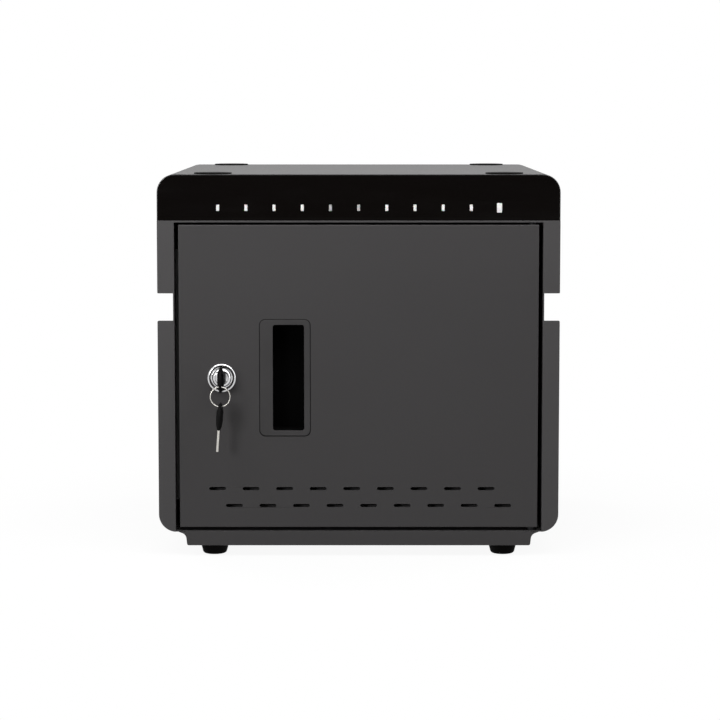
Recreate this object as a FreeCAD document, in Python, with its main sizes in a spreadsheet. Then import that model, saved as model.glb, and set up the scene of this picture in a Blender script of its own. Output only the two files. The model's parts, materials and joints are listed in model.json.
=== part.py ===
"""Desktop charging cabinet for ten tablets.

X runs across the front, from the latch side to the hinge side. Y runs from the front to the back. Z is up.
The origin is on the floor, in the middle of the space the cabinet takes up with its key in the lock.
Depths in this file are measured back from the cabinet's front face.
"""
import FreeCAD, Part
import Sketcher
import os
import re

LENS_COUNT = 10
SLOT_COUNT = 9
BAY_COUNT = 10
BLADE_COUNT = 7
NUT_SIDES = 6
GRILLE_ROWS = 9
ROCKER_TILT = 8

SIZES = {
    # steel case
    "cabinet_width": 380.0,
    "cabinet_depth": 360.0,
    "shell_height": 340.0,
    "corner_radius": 17.0,
    "sheet": 1.2,
    "face_thickness": 1.2,
    "flange_width": 16.0,
    "jamb_depth": 20.0,
    "rear_recess": 2.0,
    "fit": 0.2,
    "slip": 0.3,
    "running_fit": 0.05,
    "overrun": 4.0,
    # carrying grooves in the two sides
    "grip_rise": 202.0,
    "grip_height": 25.8,
    "grip_flare": 22.0,
    "grip_ramp": 65.0,
    # plinth, feet and stacking pads
    "plinth_height": 14.0,
    "plinth_lap": 1.0,
    "plinth_inset": 25.5,
    "plinth_flare": 7.0,
    "plinth_flare_drop": 2.5,
    "plinth_taper": 1.2,
    "plinth_round": 1.8,
    "plinth_fillet": 6.0,
    "plinth_wall": 1.5,
    "plinth_rear_gap": 8.0,
    "foot_height": 10.5,
    "foot_top_diameter": 27.6,
    "foot_bottom_diameter": 22.0,
    "foot_round": 3.0,
    "foot_inset": 52.0,
    "foot_edge": 20.0,
    "foot_recess_diameter": 11.0,
    "foot_recess_depth": 5.0,
    "foot_screw_diameter": 4.0,
    "foot_screw_head": 8.0,
    "foot_screw_head_height": 2.6,
    "foot_screw_end": 4.0,
    "pad_diameter": 36.0,
    "pad_thickness": 1.2,
    # black strip with the status lights
    "fascia_height": 43.0,
    "fascia_inset": 0.5,
    "lip_height": 1.8,
    "lens_margin": 57.5,
    "lens_width": 2.7,
    "lens_height": 5.9,
    "lens_rise": 12.0,
    "power_lens_width": 4.7,
    "power_lens_height": 8.9,
    "board_gap": 6.0,
    "board_thickness": 1.6,
    "led_board_height": 18.0,
    "led_board_margin": 12.0,
    "standoff_diameter": 6.0,
    "standoff_edge": 5.0,
    # device compartment
    "service_depth": 74.0,
    "rack_height": 10.0,
    "rack_gap": 9.0,
    "rack_rear_gap": 2.0,
    "rack_side_gap": 9.0,
    "divider_thickness": 2.5,
    "divider_height": 185.0,
    "divider_round": 45.0,
    "groove_depth": 6.0,
    # port board behind the partition
    "port_rise": 258.0,
    "port_width": 9.0,
    "port_height": 3.4,
    "port_wall": 0.4,
    "port_stand": 0.6,
    "charger_board_height": 44.0,
    "charger_board_margin": 10.0,
    # power supply and rear fittings
    "supply_width": 150.0,
    "supply_depth": 36.0,
    "supply_height": 105.0,
    "supply_inset": 130.0,
    "supply_wall": 1.0,
    "fan_size": 80.0,
    "fan_depth": 25.0,
    "fan_bore": 76.0,
    "fan_corner": 4.0,
    "fan_inset": 95.0,
    "fan_rise": 190.0,
    "rotor_diameter": 72.0,
    "hub_diameter": 32.0,
    "hub_length": 18.0,
    "blade_thickness": 2.0,
    "blade_run": 16.0,
    "shaft_diameter": 4.0,
    "motor_thickness": 4.0,
    "strut_width": 5.0,
    "grille_slot": 4.0,
    "grille_pitch": 8.0,
    "rear_flange": 14.0,
    "rear_screw_diameter": 3.0,
    "rear_screw_head": 6.0,
    "rear_screw_head_height": 1.5,
    "rear_screw_length": 7.0,
    "rear_screw_edge": 22.0,
    "inlet_width": 27.0,
    "inlet_height": 36.0,
    "inlet_flange": 3.0,
    "inlet_flange_thickness": 1.7,
    "inlet_body_depth": 22.0,
    "inlet_inset": 62.0,
    "inlet_rise": 250.0,
    "socket_width": 23.0,
    "socket_height": 16.0,
    "socket_depth": 17.0,
    "socket_edge": 3.0,
    "pin_width": 4.0,
    "pin_thickness": 2.0,
    "pin_length": 14.0,
    "pin_spacing": 7.0,
    "pin_offset": 3.0,
    "fuse_width": 22.0,
    "fuse_height": 8.0,
    "fuse_depth": 15.0,
    "fuse_pull": 0.8,
    "switch_width": 13.0,
    "switch_height": 20.0,
    "switch_flange": 2.0,
    "switch_body_depth": 16.0,
    "switch_wall": 1.6,
    "switch_gap": 40.0,
    "rocker_sink": 3.0,
    "rocker_pivot": 2.0,
    # door
    "door_gap_side": 4.0,
    "door_gap_top": 2.2,
    "door_gap_bottom": 3.5,
    "door_depth": 14.0,
    "door_edge_round": 1.0,
    "liner_thickness": 1.0,
    "slot_length": 15.9,
    "slot_height": 3.0,
    "slot_margin": 26.45,
    "slot_rise": 20.9,
    "slot_row_pitch": 16.2,
    "slot_shift": 1.5,
    "stop_width": 14.0,
    "stop_margin": 24.0,
    "bumper_diameter": 8.0,
    "bumper_thickness": 3.6,
    "bumper_spacing": 180.0,
    # hinge
    "hinge_inset": 6.0,
    "hinge_setback": 6.0,
    "hinge_pin_diameter": 4.6,
    "hinge_pin_head": 6.6,
    "hinge_pin_head_height": 2.0,
    "hinge_collar_diameter": 8.6,
    "bush_diameter": 7.6,
    "bush_flange_diameter": 9.0,
    "bush_flange_thickness": 1.0,
    "bush_length": 8.0,
    # recessed pull
    "handle_rise": 143.2,
    "pull_inset": 100.3,
    "pull_width": 47.5,
    "pull_height": 110.5,
    "pull_round": 5.5,
    "pull_proud": 0.8,
    "pull_seat": 1.6,
    "pull_opening_width": 29.6,
    "pull_opening_height": 100.5,
    "pull_opening_round": 2.2,
    "pull_margin": 5.6,
    "pull_lip": 2.2,
    "pull_depth": 25.0,
    "pull_wall": 1.5,
    # cam lock
    "lock_inset": 40.5,
    "bezel_diameter": 27.0,
    "bezel_height": 2.8,
    "bezel_round": 1.2,
    "barrel_diameter": 18.0,
    "plug_diameter": 12.0,
    "plug_recess": 0.5,
    "plug_tail_diameter": 7.0,
    "plug_wall": 0.8,
    "nut_across": 24.0,
    "nut_thickness": 4.0,
    "cam_length": 38.0,
    "cam_width": 12.0,
    "cam_thickness": 2.0,
    "cam_screw_head": 9.0,
    "cam_screw_head_height": 2.4,
    "cam_screw_diameter": 4.0,
    "cam_screw_length": 4.5,
    # keys and ring
    "bow_gap": 4.5,
    "bow_length": 27.0,
    "bow_width": 24.0,
    "bow_thickness": 5.5,
    "bow_round": 8.0,
    "eye_inset": 5.0,
    "eye_length": 14.0,
    "eye_height": 5.0,
    "blade_width": 7.6,
    "blade_length": 20.0,
    "key_thickness": 2.0,
    "blade_tang": 6.0,
    "ring_radius": 9.1,
    "ring_wire": 0.6,
    "ring_clearance": 0.7,
}

doc = FreeCAD.newDocument("charging_cabinet")
sizes = doc.addObject("Spreadsheet::Sheet", "sizes")
for row, (alias, size) in enumerate(SIZES.items(), 1):
    sizes.set(f"A{row}", alias)
    sizes.set(f"B{row}", str(size))
    sizes.setAlias(f"B{row}", alias)
doc.recompute()

NODES = []
SAME_PLACE = 1e-6
STRAIGHT_SHARE = 0.999
SIDES = (("left", "-"), ("right", ""))
X_AXIS = FreeCAD.Vector(1, 0, 0)
Y_AXIS = FreeCAD.Vector(0, 1, 0)
Z_AXIS = FreeCAD.Vector(0, 0, 1)
ALONG = {
    "x": FreeCAD.Rotation(Y_AXIS, 90),
    "y": FreeCAD.Rotation(X_AXIS, -90),
    "z": FreeCAD.Rotation(),
}

# places that several pieces share, as expressions in the sheet's names
KEY_REACH = "(bow_gap + bow_length - eye_inset)"
FRONT = f"(({KEY_REACH} + bow_width / 2 - cabinet_depth) / 2)"
HALF = "(cabinet_width / 2)"
OPENING = f"({HALF} - flange_width)"
LINER_OUT = f"({OPENING} + sheet)"
SHELL_LOW = "(foot_height + plinth_height - plinth_lap)"
FLOOR = f"({SHELL_LOW} + sheet)"
SHELL_TOP = f"({SHELL_LOW} + shell_height)"
# the inner walls stand where the shell's round corner has just begun
INTO_CORNER = f"max(0; {LINER_OUT} - {HALF} + corner_radius)"
CORNER_RISE = f"sqrt((corner_radius - sheet) ^ 2 - {INTO_CORNER} ^ 2)"
WALL_LOW = f"({SHELL_LOW} + corner_radius - {CORNER_RISE})"
GRIP_LOW = f"({SHELL_LOW} + grip_rise)"
GRIP_HIGH = f"({GRIP_LOW} + grip_height)"
FASCIA_LOW = f"({SHELL_TOP} - fascia_inset - fascia_height)"
HEADER_LOW = f"({FASCIA_LOW} - lip_height)"
REAR_IN = "(cabinet_depth - rear_recess - sheet)"
LENS_Z = f"({FASCIA_LOW} + lens_rise)"
WEB_BACK = "(face_thickness + sheet)"
DOOR_LEFT = f"(door_gap_side - {OPENING})"
DOOR_RIGHT = f"({OPENING} - door_gap_side)"
DOOR_LOW = "(foot_height + plinth_height + door_gap_bottom)"
DOOR_TOP = f"({HEADER_LOW} - door_gap_top)"
HINGE_X = f"({DOOR_RIGHT} - hinge_inset)"
HANDLE_Z = f"({DOOR_LOW} + handle_rise)"
LOCK_X = f"({DOOR_LEFT} + lock_inset)"
PULL_X = f"({DOOR_LEFT} + pull_inset)"
PULL_RIGHT = f"({PULL_X} + pull_width / 2)"
EYE_Z = f"({HANDLE_Z} - eye_length / 2 + ring_clearance + ring_wire)"
RING_Z = f"({EYE_Z} - ring_radius)"
SPARE_EYE_Z = f"({RING_Z} - ring_radius)"
SPARE_TOP = f"({SPARE_EYE_Z} + ring_wire + ring_clearance - eye_height / 2 + eye_inset)"
LENS_PITCH = f"((cabinet_width - 2 * lens_margin) / {LENS_COUNT})"
SLOT_PITCH = f"(({DOOR_RIGHT} - {DOOR_LEFT} - 2 * slot_margin) / {SLOT_COUNT})"
BAY_PITCH = f"((2 * {OPENING} - 2 * rack_side_gap - 2 * divider_thickness) / {BAY_COUNT})"
FAN_X = f"(fan_inset - {HALF})"
FAN_Z = f"({SHELL_LOW} + fan_rise)"
INLET_X = f"({HALF} - inlet_inset)"
INLET_Z = f"({SHELL_LOW} + inlet_rise)"
SWITCH_X = f"({INLET_X} - switch_gap)"
PORT_Z = f"({SHELL_LOW} + port_rise)"
PARTITION = "(cabinet_depth - service_depth)"
RACK_FRONT = "(pull_depth + rack_gap)"
RACK_BACK = f"({PARTITION} - rack_rear_gap)"
REAR_OUT = f"({REAR_IN} + sheet)"
RIM_OUT = f"({REAR_OUT} + inlet_flange_thickness)"
KEY_END = "(blade_length - bow_gap + slip)"
BARREL_NEED = f"({KEY_END} + plug_wall + cam_screw_length - cam_thickness - slip)"
STOP_NEED = "(door_depth + bumper_thickness + slip + sheet)"
BARREL_END = f"max({STOP_NEED}; {BARREL_NEED})"


def bind(thing, **expressions):
    """Ties properties to the sheet. A double underscore in a name stands for a dot."""
    for name, words in expressions.items():
        tied = re.sub(r"[a-z][a-z_]*", lambda found: cell_of(found.group(0)), words)
        thing.setExpression(name.replace("__", "."), tied)


def cell_of(word):
    return f"sizes.{word}" if word in SIZES else word


def place(thing, x, depth, z):
    """Puts a thing at x, at a depth behind the front face and at a height."""
    bind(thing, Placement__Base__x=x, Placement__Base__y=f"{FRONT} + ({depth})", Placement__Base__z=z)
    return thing


def box(name, x, depth, z):
    """A block between two x, two depths and two heights."""
    block = doc.addObject("Part::Box", name)
    bind(block, Length=span(x), Width=span(depth), Height=span(z))
    return place(block, x[0], depth[0], z[0])


def rod(name, axis, diameter, length, x, depth, z):
    """A round bar that starts at a point and runs along an axis."""
    bar = doc.addObject("Part::Cylinder", name)
    bar.Placement = FreeCAD.Placement(FreeCAD.Vector(), ALONG[axis])
    bind(bar, Radius=f"({diameter}) / 2", Height=length)
    return place(bar, x, depth, z)


def fuse(name, *pieces):
    whole = doc.addObject("Part::MultiFuse", name)
    whole.Shapes = list(pieces)
    whole.Refine = True
    return whole


def group(name, *pieces):
    """Several separate solids that share one node."""
    whole = doc.addObject("Part::Compound", name)
    whole.Links = list(pieces)
    return whole


def cut(name, base, *tools):
    """What is left of a base after its tools."""
    tool = tools[0] if len(tools) == 1 else fuse(f"{name}_tools", *tools)
    left = doc.addObject("Part::Cut", name)
    left.Base = base
    left.Tool = tool
    left.Refine = True
    return left


def mirror(name, source):
    """The same piece on the other side of the cabinet."""
    other = doc.addObject("Part::Mirroring", name)
    other.Source = source
    other.Normal = X_AXIS
    return other


def node(label, thing):
    thing.Label = label
    NODES.append(thing)
    return thing


def outline(body, name, role, points):
    """A closed sketch of straight lines through points given as expressions."""
    drawing = body.newObject("Sketcher::SketchObject", name)
    plane = [feature for feature in body.Origin.OriginFeatures if feature.Role == role][0]
    drawing.AttachmentSupport = [(plane, "")]
    drawing.MapMode = "FlatFace"
    count = len(points)
    for index in range(count):
        start = FreeCAD.Vector(index, index * index, 0)
        following = (index + 1) % count
        end = FreeCAD.Vector(following, following * following, 0)
        drawing.addGeometry(Part.LineSegment(start, end))
    for index in range(count):
        drawing.addConstraint(Sketcher.Constraint("Coincident", index, 2, (index + 1) % count, 1))
    for index, (across, up) in enumerate(points):
        for kind, words in (("DistanceX", across), ("DistanceY", up)):
            number = drawing.addConstraint(Sketcher.Constraint(kind, -1, 1, index, 1, 1))
            bind(drawing, **{f"Constraints[{number}]": words})
    doc.recompute()
    return drawing


def pad(body, profile, length, reverse=False):
    raised = body.newObject("PartDesign::Pad", f"{body.Name}_pad")
    raised.Profile = profile
    raised.Reversed = reverse
    bind(raised, Length=length)
    doc.recompute()
    return raised


def block_body(name, x, depth, z):
    """A block as a body, for pieces whose edges are rounded or whose inside is hollowed."""
    body = doc.addObject("PartDesign::Body", name)
    width = span(x)
    length = span(depth)
    corners = [("0", "0"), (width, "0"), (width, length), ("0", length)]
    pad(body, outline(body, f"{name}_outline", "XY_Plane", corners), span(z))
    place(body, x[0], depth[0], z[0])
    return body


def side_test(shape, axis, sides):
    """Says whether an edge or face lies along an axis, or on the named sides of a shape's box."""
    limits = shape.BoundBox
    ends = {
        "left": ("X", limits.XMin), "right": ("X", limits.XMax),
        "front": ("Y", limits.YMin), "back": ("Y", limits.YMax),
        "low": ("Z", limits.ZMin), "top": ("Z", limits.ZMax),
    }

    def on_side(piece, side):
        letter, limit = ends[side]
        reach = [getattr(piece.BoundBox, f"{letter}{end}") for end in ("Min", "Max")]
        return max(abs(value - limit) for value in reach) < SAME_PLACE

    def test(piece):
        if axis and abs(getattr(piece.tangentAt(piece.FirstParameter), axis)) < STRAIGHT_SHARE:
            return False
        return any(all(on_side(piece, side) for side in wanted.split()) for wanted in sides)

    return test


def fillet(body, radius, test):
    """Rounds the edges of a body that pass a test."""
    base = body.Tip
    names = [f"Edge{number}" for number, edge in enumerate(base.Shape.Edges, 1) if test(edge)]
    rounded = body.newObject("PartDesign::Fillet", f"{body.Name}_round")
    rounded.Base = (base, names)
    bind(rounded, Radius=radius)
    doc.recompute()
    return body


def round_edges(body, radius, axis, *sides):
    """Rounds a body's edges along an axis, chosen by the sides of its box that they lie on."""
    return fillet(body, radius, side_test(body.Tip.Shape, axis, sides))


def hollow(body, wall, *sides):
    """Leaves walls of one thickness, open on the named sides of the body's box."""
    base = body.Tip
    test = side_test(base.Shape, None, sides)
    names = [f"Face{number}" for number, face in enumerate(base.Shape.Faces, 1) if test(face)]
    thin = body.newObject("PartDesign::Thickness", f"{body.Name}_hollow")
    thin.Base = (base, names)
    thin.Reversed = True
    bind(thin, Value=wall)
    doc.recompute()
    return body


def both_sides(words):
    return (f"-({words})", words)


def both_sides_of(middle, reach):
    return (f"{middle} - ({reach})", f"{middle} + ({reach})")


def span(ends):
    """The distance between the two ends of a range."""
    return f"({ends[1]}) - ({ends[0]})"


def grip_wedge(name, x, drop):
    """The flared space of a carrying groove: low along its middle, rising to the notch at both ends."""
    wedge = doc.addObject("Part::Wedge", name)
    wedge.Placement = FreeCAD.Placement(FreeCAD.Vector(), FreeCAD.Rotation(FreeCAD.Vector(1, 1, 1), 120))
    bind(wedge, Xmin="grip_ramp", Xmax="cabinet_depth - grip_ramp", X2min="0", X2max="cabinet_depth")
    bind(wedge, Ymin="0", Ymax="grip_flare")
    bind(wedge, Zmin="0", Zmax=span(x), Z2min="0", Z2max=span(x))
    return place(wedge, x[0], "0", f"{GRIP_LOW} - grip_flare - ({drop})")


def notch(name, depth):
    """The cutter for a carrying groove's end in a front or rear plate, on the latch side."""
    x = (f"-{HALF} - overrun", f"-{LINER_OUT}")
    return box(name, x, depth, (GRIP_LOW, GRIP_HIGH))


def make_upper_cover():
    z = (GRIP_HIGH, SHELL_TOP)
    cover = block_body("upper_cover", both_sides(HALF), ("face_thickness", "cabinet_depth"), z)
    round_edges(cover, "corner_radius", "y", "left top", "right top")
    node("upper_cover", hollow(cover, "sheet", "low", "front", "back"))


def make_lower_shell():
    z = (SHELL_LOW, GRIP_LOW)
    shell = block_body("lower_tub", both_sides(HALF), ("face_thickness", "cabinet_depth"), z)
    round_edges(shell, "corner_radius", "y", "left low", "right low")
    hollow(shell, "sheet", "top", "front", "back")
    flare = grip_wedge("lower_flare", both_sides(f"{HALF} + overrun"), "0")
    pin = rod("lower_pin_hole", "z", "hinge_pin_diameter + 2 * running_fit", "sheet + 2 * overrun",
              HINGE_X, "hinge_setback", f"{SHELL_LOW} - overrun")
    node("lower_shell", cut("lower_shell", shell, flare, pin))


def make_front_frame():
    z = (SHELL_LOW, FASCIA_LOW)
    face = block_body("frame_face", both_sides(HALF), ("0", "face_thickness"), z)
    round_edges(face, "corner_radius", "y", "left low", "right low")
    doorway = box("frame_doorway", both_sides(OPENING), ("-overrun", "face_thickness + overrun"),
                  (f"{SHELL_LOW} - overrun", HEADER_LOW))
    left_notch = notch("frame_notch", ("-overrun", "face_thickness + overrun"))
    stiles = cut("frame_stiles", face, doorway, left_notch, mirror("frame_notch_right", left_notch))
    jamb = box("frame_jamb", (f"-{LINER_OUT}", f"-{OPENING}"), ("0", "jamb_depth"), (WALL_LOW, FASCIA_LOW))
    header = box("frame_header", both_sides(LINER_OUT), ("0", "jamb_depth"), (HEADER_LOW, FASCIA_LOW))
    web_z = (FASCIA_LOW, f"{SHELL_TOP} - sheet - fit")
    web = box("frame_web", both_sides(LINER_OUT), ("face_thickness", WEB_BACK), web_z)
    pin = rod("header_pin_hole", "z", "hinge_pin_diameter + 2 * running_fit", "lip_height + 2 * overrun",
              HINGE_X, "hinge_setback", f"{HEADER_LOW} - overrun")
    solid = fuse("frame_solid", stiles, jamb, mirror("frame_jamb_right", jamb), header, web)
    node("front_frame", cut("front_frame", solid, pin, *lens_blocks("frame_window", "fit")))


def lens_blocks(name, clearance):
    """The windows of the status lights, or with no clearance the lenses in them, from the latch side."""
    blocks = []
    for index in range(LENS_COUNT + 1):
        kind = "power_lens" if index == LENS_COUNT else "lens"
        x = f"({index} - {LENS_COUNT} / 2) * {LENS_PITCH}"
        across = (f"{x} - {kind}_width / 2 - {clearance}", f"{x} + {kind}_width / 2 + {clearance}")
        up = (f"{LENS_Z} - {kind}_height / 2 - {clearance}", f"{LENS_Z} + {kind}_height / 2 + {clearance}")
        depth = ("0", f"{WEB_BACK} + board_gap - fit")
        if clearance != "0":
            depth = ("-overrun", f"{WEB_BACK} + overrun")
        blocks.append(box(f"{name}_{index + 1}", across, depth, up))
    return blocks


def make_fascia():
    z = (FASCIA_LOW, f"{SHELL_TOP} - fascia_inset")
    panel = block_body("fascia_plate", both_sides(f"{HALF} - fascia_inset"), ("0", "face_thickness"), z)
    round_edges(panel, "corner_radius - fascia_inset", "y", "left top", "right top")
    node("fascia_panel", cut("fascia_panel", panel, *lens_blocks("fascia_window", "fit")))
    lenses = lens_blocks("lens", "0")
    node("status_lenses", group("status_lenses", *lenses[:LENS_COUNT]))
    node("power_lens", lenses[LENS_COUNT])


def standoffs(name, half_span, depth, heights):
    """Four spacers that carry a board by its corners."""
    posts = []
    for hand, side in SIDES:
        for number, height in enumerate(heights):
            x = f"{side}({half_span})"
            post = rod(f"{name}_{hand}{number}", "y", "standoff_diameter", span(depth), x, depth[0], height)
            posts.append(post)
    return posts


def make_led_board():
    half = f"({LENS_COUNT} / 2 * {LENS_PITCH} + led_board_margin)"
    depth = (f"{WEB_BACK} + board_gap", f"{WEB_BACK} + board_gap + board_thickness")
    z = (f"{LENS_Z} - led_board_height / 2", f"{LENS_Z} + led_board_height / 2")
    node("led_board", box("led_board", both_sides(half), depth, z))
    heights = (f"{z[0]} + standoff_edge", f"{z[1]} - standoff_edge")
    posts = standoffs("led_post", f"{half} - standoff_edge", (WEB_BACK, depth[0]), heights)
    node("led_standoffs", group("led_standoffs", *posts))


def make_grip_ledges():
    x = (f"sheet - {HALF}", f"-{LINER_OUT}")
    lower = cut("grip_lower", grip_wedge("grip_under", x, "sheet"), grip_wedge("grip_space", x, "0"))
    up = (f"{GRIP_LOW} - grip_flare - 2 * sheet", GRIP_LOW)
    ends = box("grip_ends", x, ("face_thickness", REAR_IN), up)
    trimmed = doc.addObject("Part::Common", "grip_lower_trimmed")
    trimmed.Base = lower
    trimmed.Tool = ends
    upper = box("grip_upper", x, ("face_thickness", REAR_IN), (GRIP_HIGH, f"{GRIP_HIGH} + sheet"))
    left = node("grip_ledges_left", group("grip_ledges_left", trimmed, upper))
    node("grip_ledges_right", mirror("grip_ledges_right", left))


def rear_screw_heights():
    return (f"{FLOOR} + rear_screw_edge", f"{GRIP_LOW} - rear_screw_edge", f"{FASCIA_LOW} - rear_screw_edge")


def rear_screw_x(side):
    return f"{side}({OPENING} - rear_flange / 2)"


def make_liners():
    x = (f"-{LINER_OUT}", f"-{OPENING}")
    z = (WALL_LOW, FASCIA_LOW)
    wall = box("liner_wall", x, ("jamb_depth", REAR_IN), z)
    flange = box("liner_flange", (x[0], f"rear_flange - {OPENING}"), (f"{REAR_IN} - sheet", REAR_IN), z)
    holes = []
    for number, height in enumerate(rear_screw_heights()):
        hole = rod(f"liner_hole_{number}", "y", "rear_screw_diameter + 2 * fit", "sheet + 2 * overrun",
                   rear_screw_x("-"), f"{REAR_IN} - sheet - overrun", height)
        holes.append(hole)
    left = node("liner_left", cut("liner_left", fuse("liner_solid", wall, flange), *holes))
    node("liner_right", mirror("liner_right", left))


def make_ceiling_and_partition():
    inside = both_sides(OPENING)
    ceiling_depth = ("jamb_depth", f"{REAR_IN} - sheet")
    node("ceiling_panel", box("ceiling_panel", inside, ceiling_depth, (f"{FASCIA_LOW} - sheet", FASCIA_LOW)))
    depth = (PARTITION, f"{PARTITION} + sheet")
    panel = box("partition_plate", inside, depth, (WALL_LOW, f"{FASCIA_LOW} - sheet"))
    through = (f"{PARTITION} - overrun", f"{PARTITION} + sheet + overrun")
    ports = [port_block(index, "fit", through) for index in range(BAY_COUNT)]
    node("partition_panel", cut("partition_panel", panel, *ports))


def bay_x(index):
    return f"({index} - {BAY_COUNT - 1} / 2) * {BAY_PITCH}"


def port_block(index, clearance, depth):
    x = bay_x(index)
    across = (f"{x} - port_width / 2 - {clearance}", f"{x} + port_width / 2 + {clearance}")
    up = (f"{PORT_Z} - port_height / 2 - {clearance}", f"{PORT_Z} + port_height / 2 + {clearance}")
    return box(f"port_{clearance}_{index + 1}", across, depth, up)


def make_charger_board():
    face = f"{PARTITION} + sheet + board_gap"
    half = f"({BAY_COUNT - 1} / 2 * {BAY_PITCH} + charger_board_margin)"
    z = (f"{PORT_Z} - charger_board_height / 2", f"{PORT_Z} + charger_board_height / 2")
    node("charger_board", box("charger_board", both_sides(half), (face, f"{face} + board_thickness"), z))
    heights = (f"{z[0]} + standoff_edge", f"{z[1]} - standoff_edge")
    posts = standoffs("charger_post", f"{half} - standoff_edge", (f"{PARTITION} + sheet", face), heights)
    node("charger_standoffs", group("charger_standoffs", *posts))
    ports = []
    for index in range(BAY_COUNT):
        shell = port_block(index, "0", (f"{PARTITION} - port_stand", face))
        x = bay_x(index)
        across = (f"{x} - port_width / 2 + port_wall", f"{x} + port_width / 2 - port_wall")
        up = (f"{PORT_Z} - port_height / 2 + port_wall", f"{PORT_Z} + port_height / 2 - port_wall")
        depth = (f"{PARTITION} - overrun", f"{face} - board_thickness")
        inside = box(f"port_inside_{index + 1}", across, depth, up)
        ports.append(cut(f"port_shell_{index + 1}", shell, inside))
    node("usb_ports", group("usb_ports", *ports))


def divider_x(index):
    return f"({index} - {BAY_COUNT} / 2) * {BAY_PITCH}"


def make_rack():
    depth = (RACK_FRONT, RACK_BACK)
    half = f"({BAY_COUNT} / 2 * {BAY_PITCH} + divider_thickness)"
    base = box("rack_block", both_sides(half), depth, (FLOOR, f"{FLOOR} + rack_height"))
    groove_low = f"{FLOOR} + rack_height - groove_depth"
    grooves = []
    for index in range(BAY_COUNT + 1):
        x = both_sides_of(divider_x(index), "divider_thickness / 2 + fit")
        along = (f"{RACK_FRONT} - overrun", f"{RACK_BACK} + overrun")
        up = (groove_low, f"{FLOOR} + rack_height + overrun")
        grooves.append(box(f"rack_groove_{index + 1}", x, along, up))
    node("rack_base", cut("rack_base", base, *grooves))
    for index in range(BAY_COUNT + 1):
        x = both_sides_of(divider_x(index), "divider_thickness / 2")
        name = f"divider_{index + 1:02d}"
        plate = block_body(name, x, depth, (groove_low, f"{groove_low} + divider_height"))
        node(name, round_edges(plate, "divider_round", "x", "front top", "back top"))


def make_rear_panel():
    edge = "(sheet + fit)"
    depth = (REAR_IN, f"{REAR_IN} + sheet")
    z = (f"{SHELL_LOW} + {edge}", f"{SHELL_TOP} - {edge}")
    plate = block_body("rear_plate", both_sides(f"{HALF} - {edge}"), depth, z)
    round_edges(plate, f"corner_radius - {edge}", "y", "left low", "right low", "left top", "right top")
    through = (f"{REAR_IN} - overrun", "cabinet_depth")
    left_notch = notch("rear_notch", through)
    openings = [left_notch, mirror("rear_notch_right", left_notch)]
    openings.append(fitting_block("rear_inlet_hole", INLET_X, "inlet", INLET_Z, through, "fit"))
    openings.append(fitting_block("rear_switch_hole", SWITCH_X, "switch", INLET_Z, through, "fit"))
    for number, height in enumerate(rear_screw_heights()):
        for hand, side in SIDES:
            hole = rod(f"rear_hole_{hand}{number}", "y", "rear_screw_diameter + 2 * fit",
                       "sheet + 2 * overrun", rear_screw_x(side), f"{REAR_IN} - overrun", height)
            openings.append(hole)
    openings += grille_slots(through)
    node("rear_panel", cut("rear_panel", plate, *openings))


def grille_slots(depth):
    """Level slots over the fan, each as wide as the fan's bore is at its height."""
    slots = []
    for row in range(GRILLE_ROWS):
        lift = f"({row} - {GRILLE_ROWS - 1} / 2) * grille_pitch"
        reach = f"sqrt((fan_bore / 2) ^ 2 - (abs({lift}) + grille_slot / 2) ^ 2)"
        slots.append(box(f"grille_{row + 1}", (f"{FAN_X} - {reach}", f"{FAN_X} + {reach}"), depth,
                         (f"{FAN_Z} + {lift} - grille_slot / 2", f"{FAN_Z} + {lift} + grille_slot / 2")))
    return slots


def fitting_block(name, x, kind, z, depth, clearance):
    """The body of a fitting that clips into the rear panel, or with a clearance the hole for it."""
    across = (f"{x} - {kind}_width / 2 - {clearance}", f"{x} + {kind}_width / 2 + {clearance}")
    up = (f"{z} - {kind}_height / 2 - {clearance}", f"{z} + {kind}_height / 2 + {clearance}")
    return box(name, across, depth, up)


def make_rear_screws():
    screws = []
    for number, height in enumerate(rear_screw_heights()):
        for hand, side in SIDES:
            name = f"rear_screw_{hand}{number}"
            x = rear_screw_x(side)
            head = rod(f"{name}_head", "y", "rear_screw_head", "rear_screw_head_height", x, REAR_OUT, height)
            shank = rod(f"{name}_shank", "y", "rear_screw_diameter", "rear_screw_length + sheet", x,
                        f"{REAR_IN} - rear_screw_length", height)
            screws.append(fuse(name, head, shank))
    node("rear_screws", group("rear_screws", *screws))


def make_power_supply():
    x = both_sides_of(f"({HALF} - supply_inset)", "supply_width / 2")
    depth = (f"{PARTITION} + sheet", f"{PARTITION} + sheet + supply_depth")
    z = (FLOOR, f"{FLOOR} + supply_height")
    node("power_supply_case", hollow(block_body("power_supply_case", x, depth, z), "supply_wall", "low"))


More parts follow.
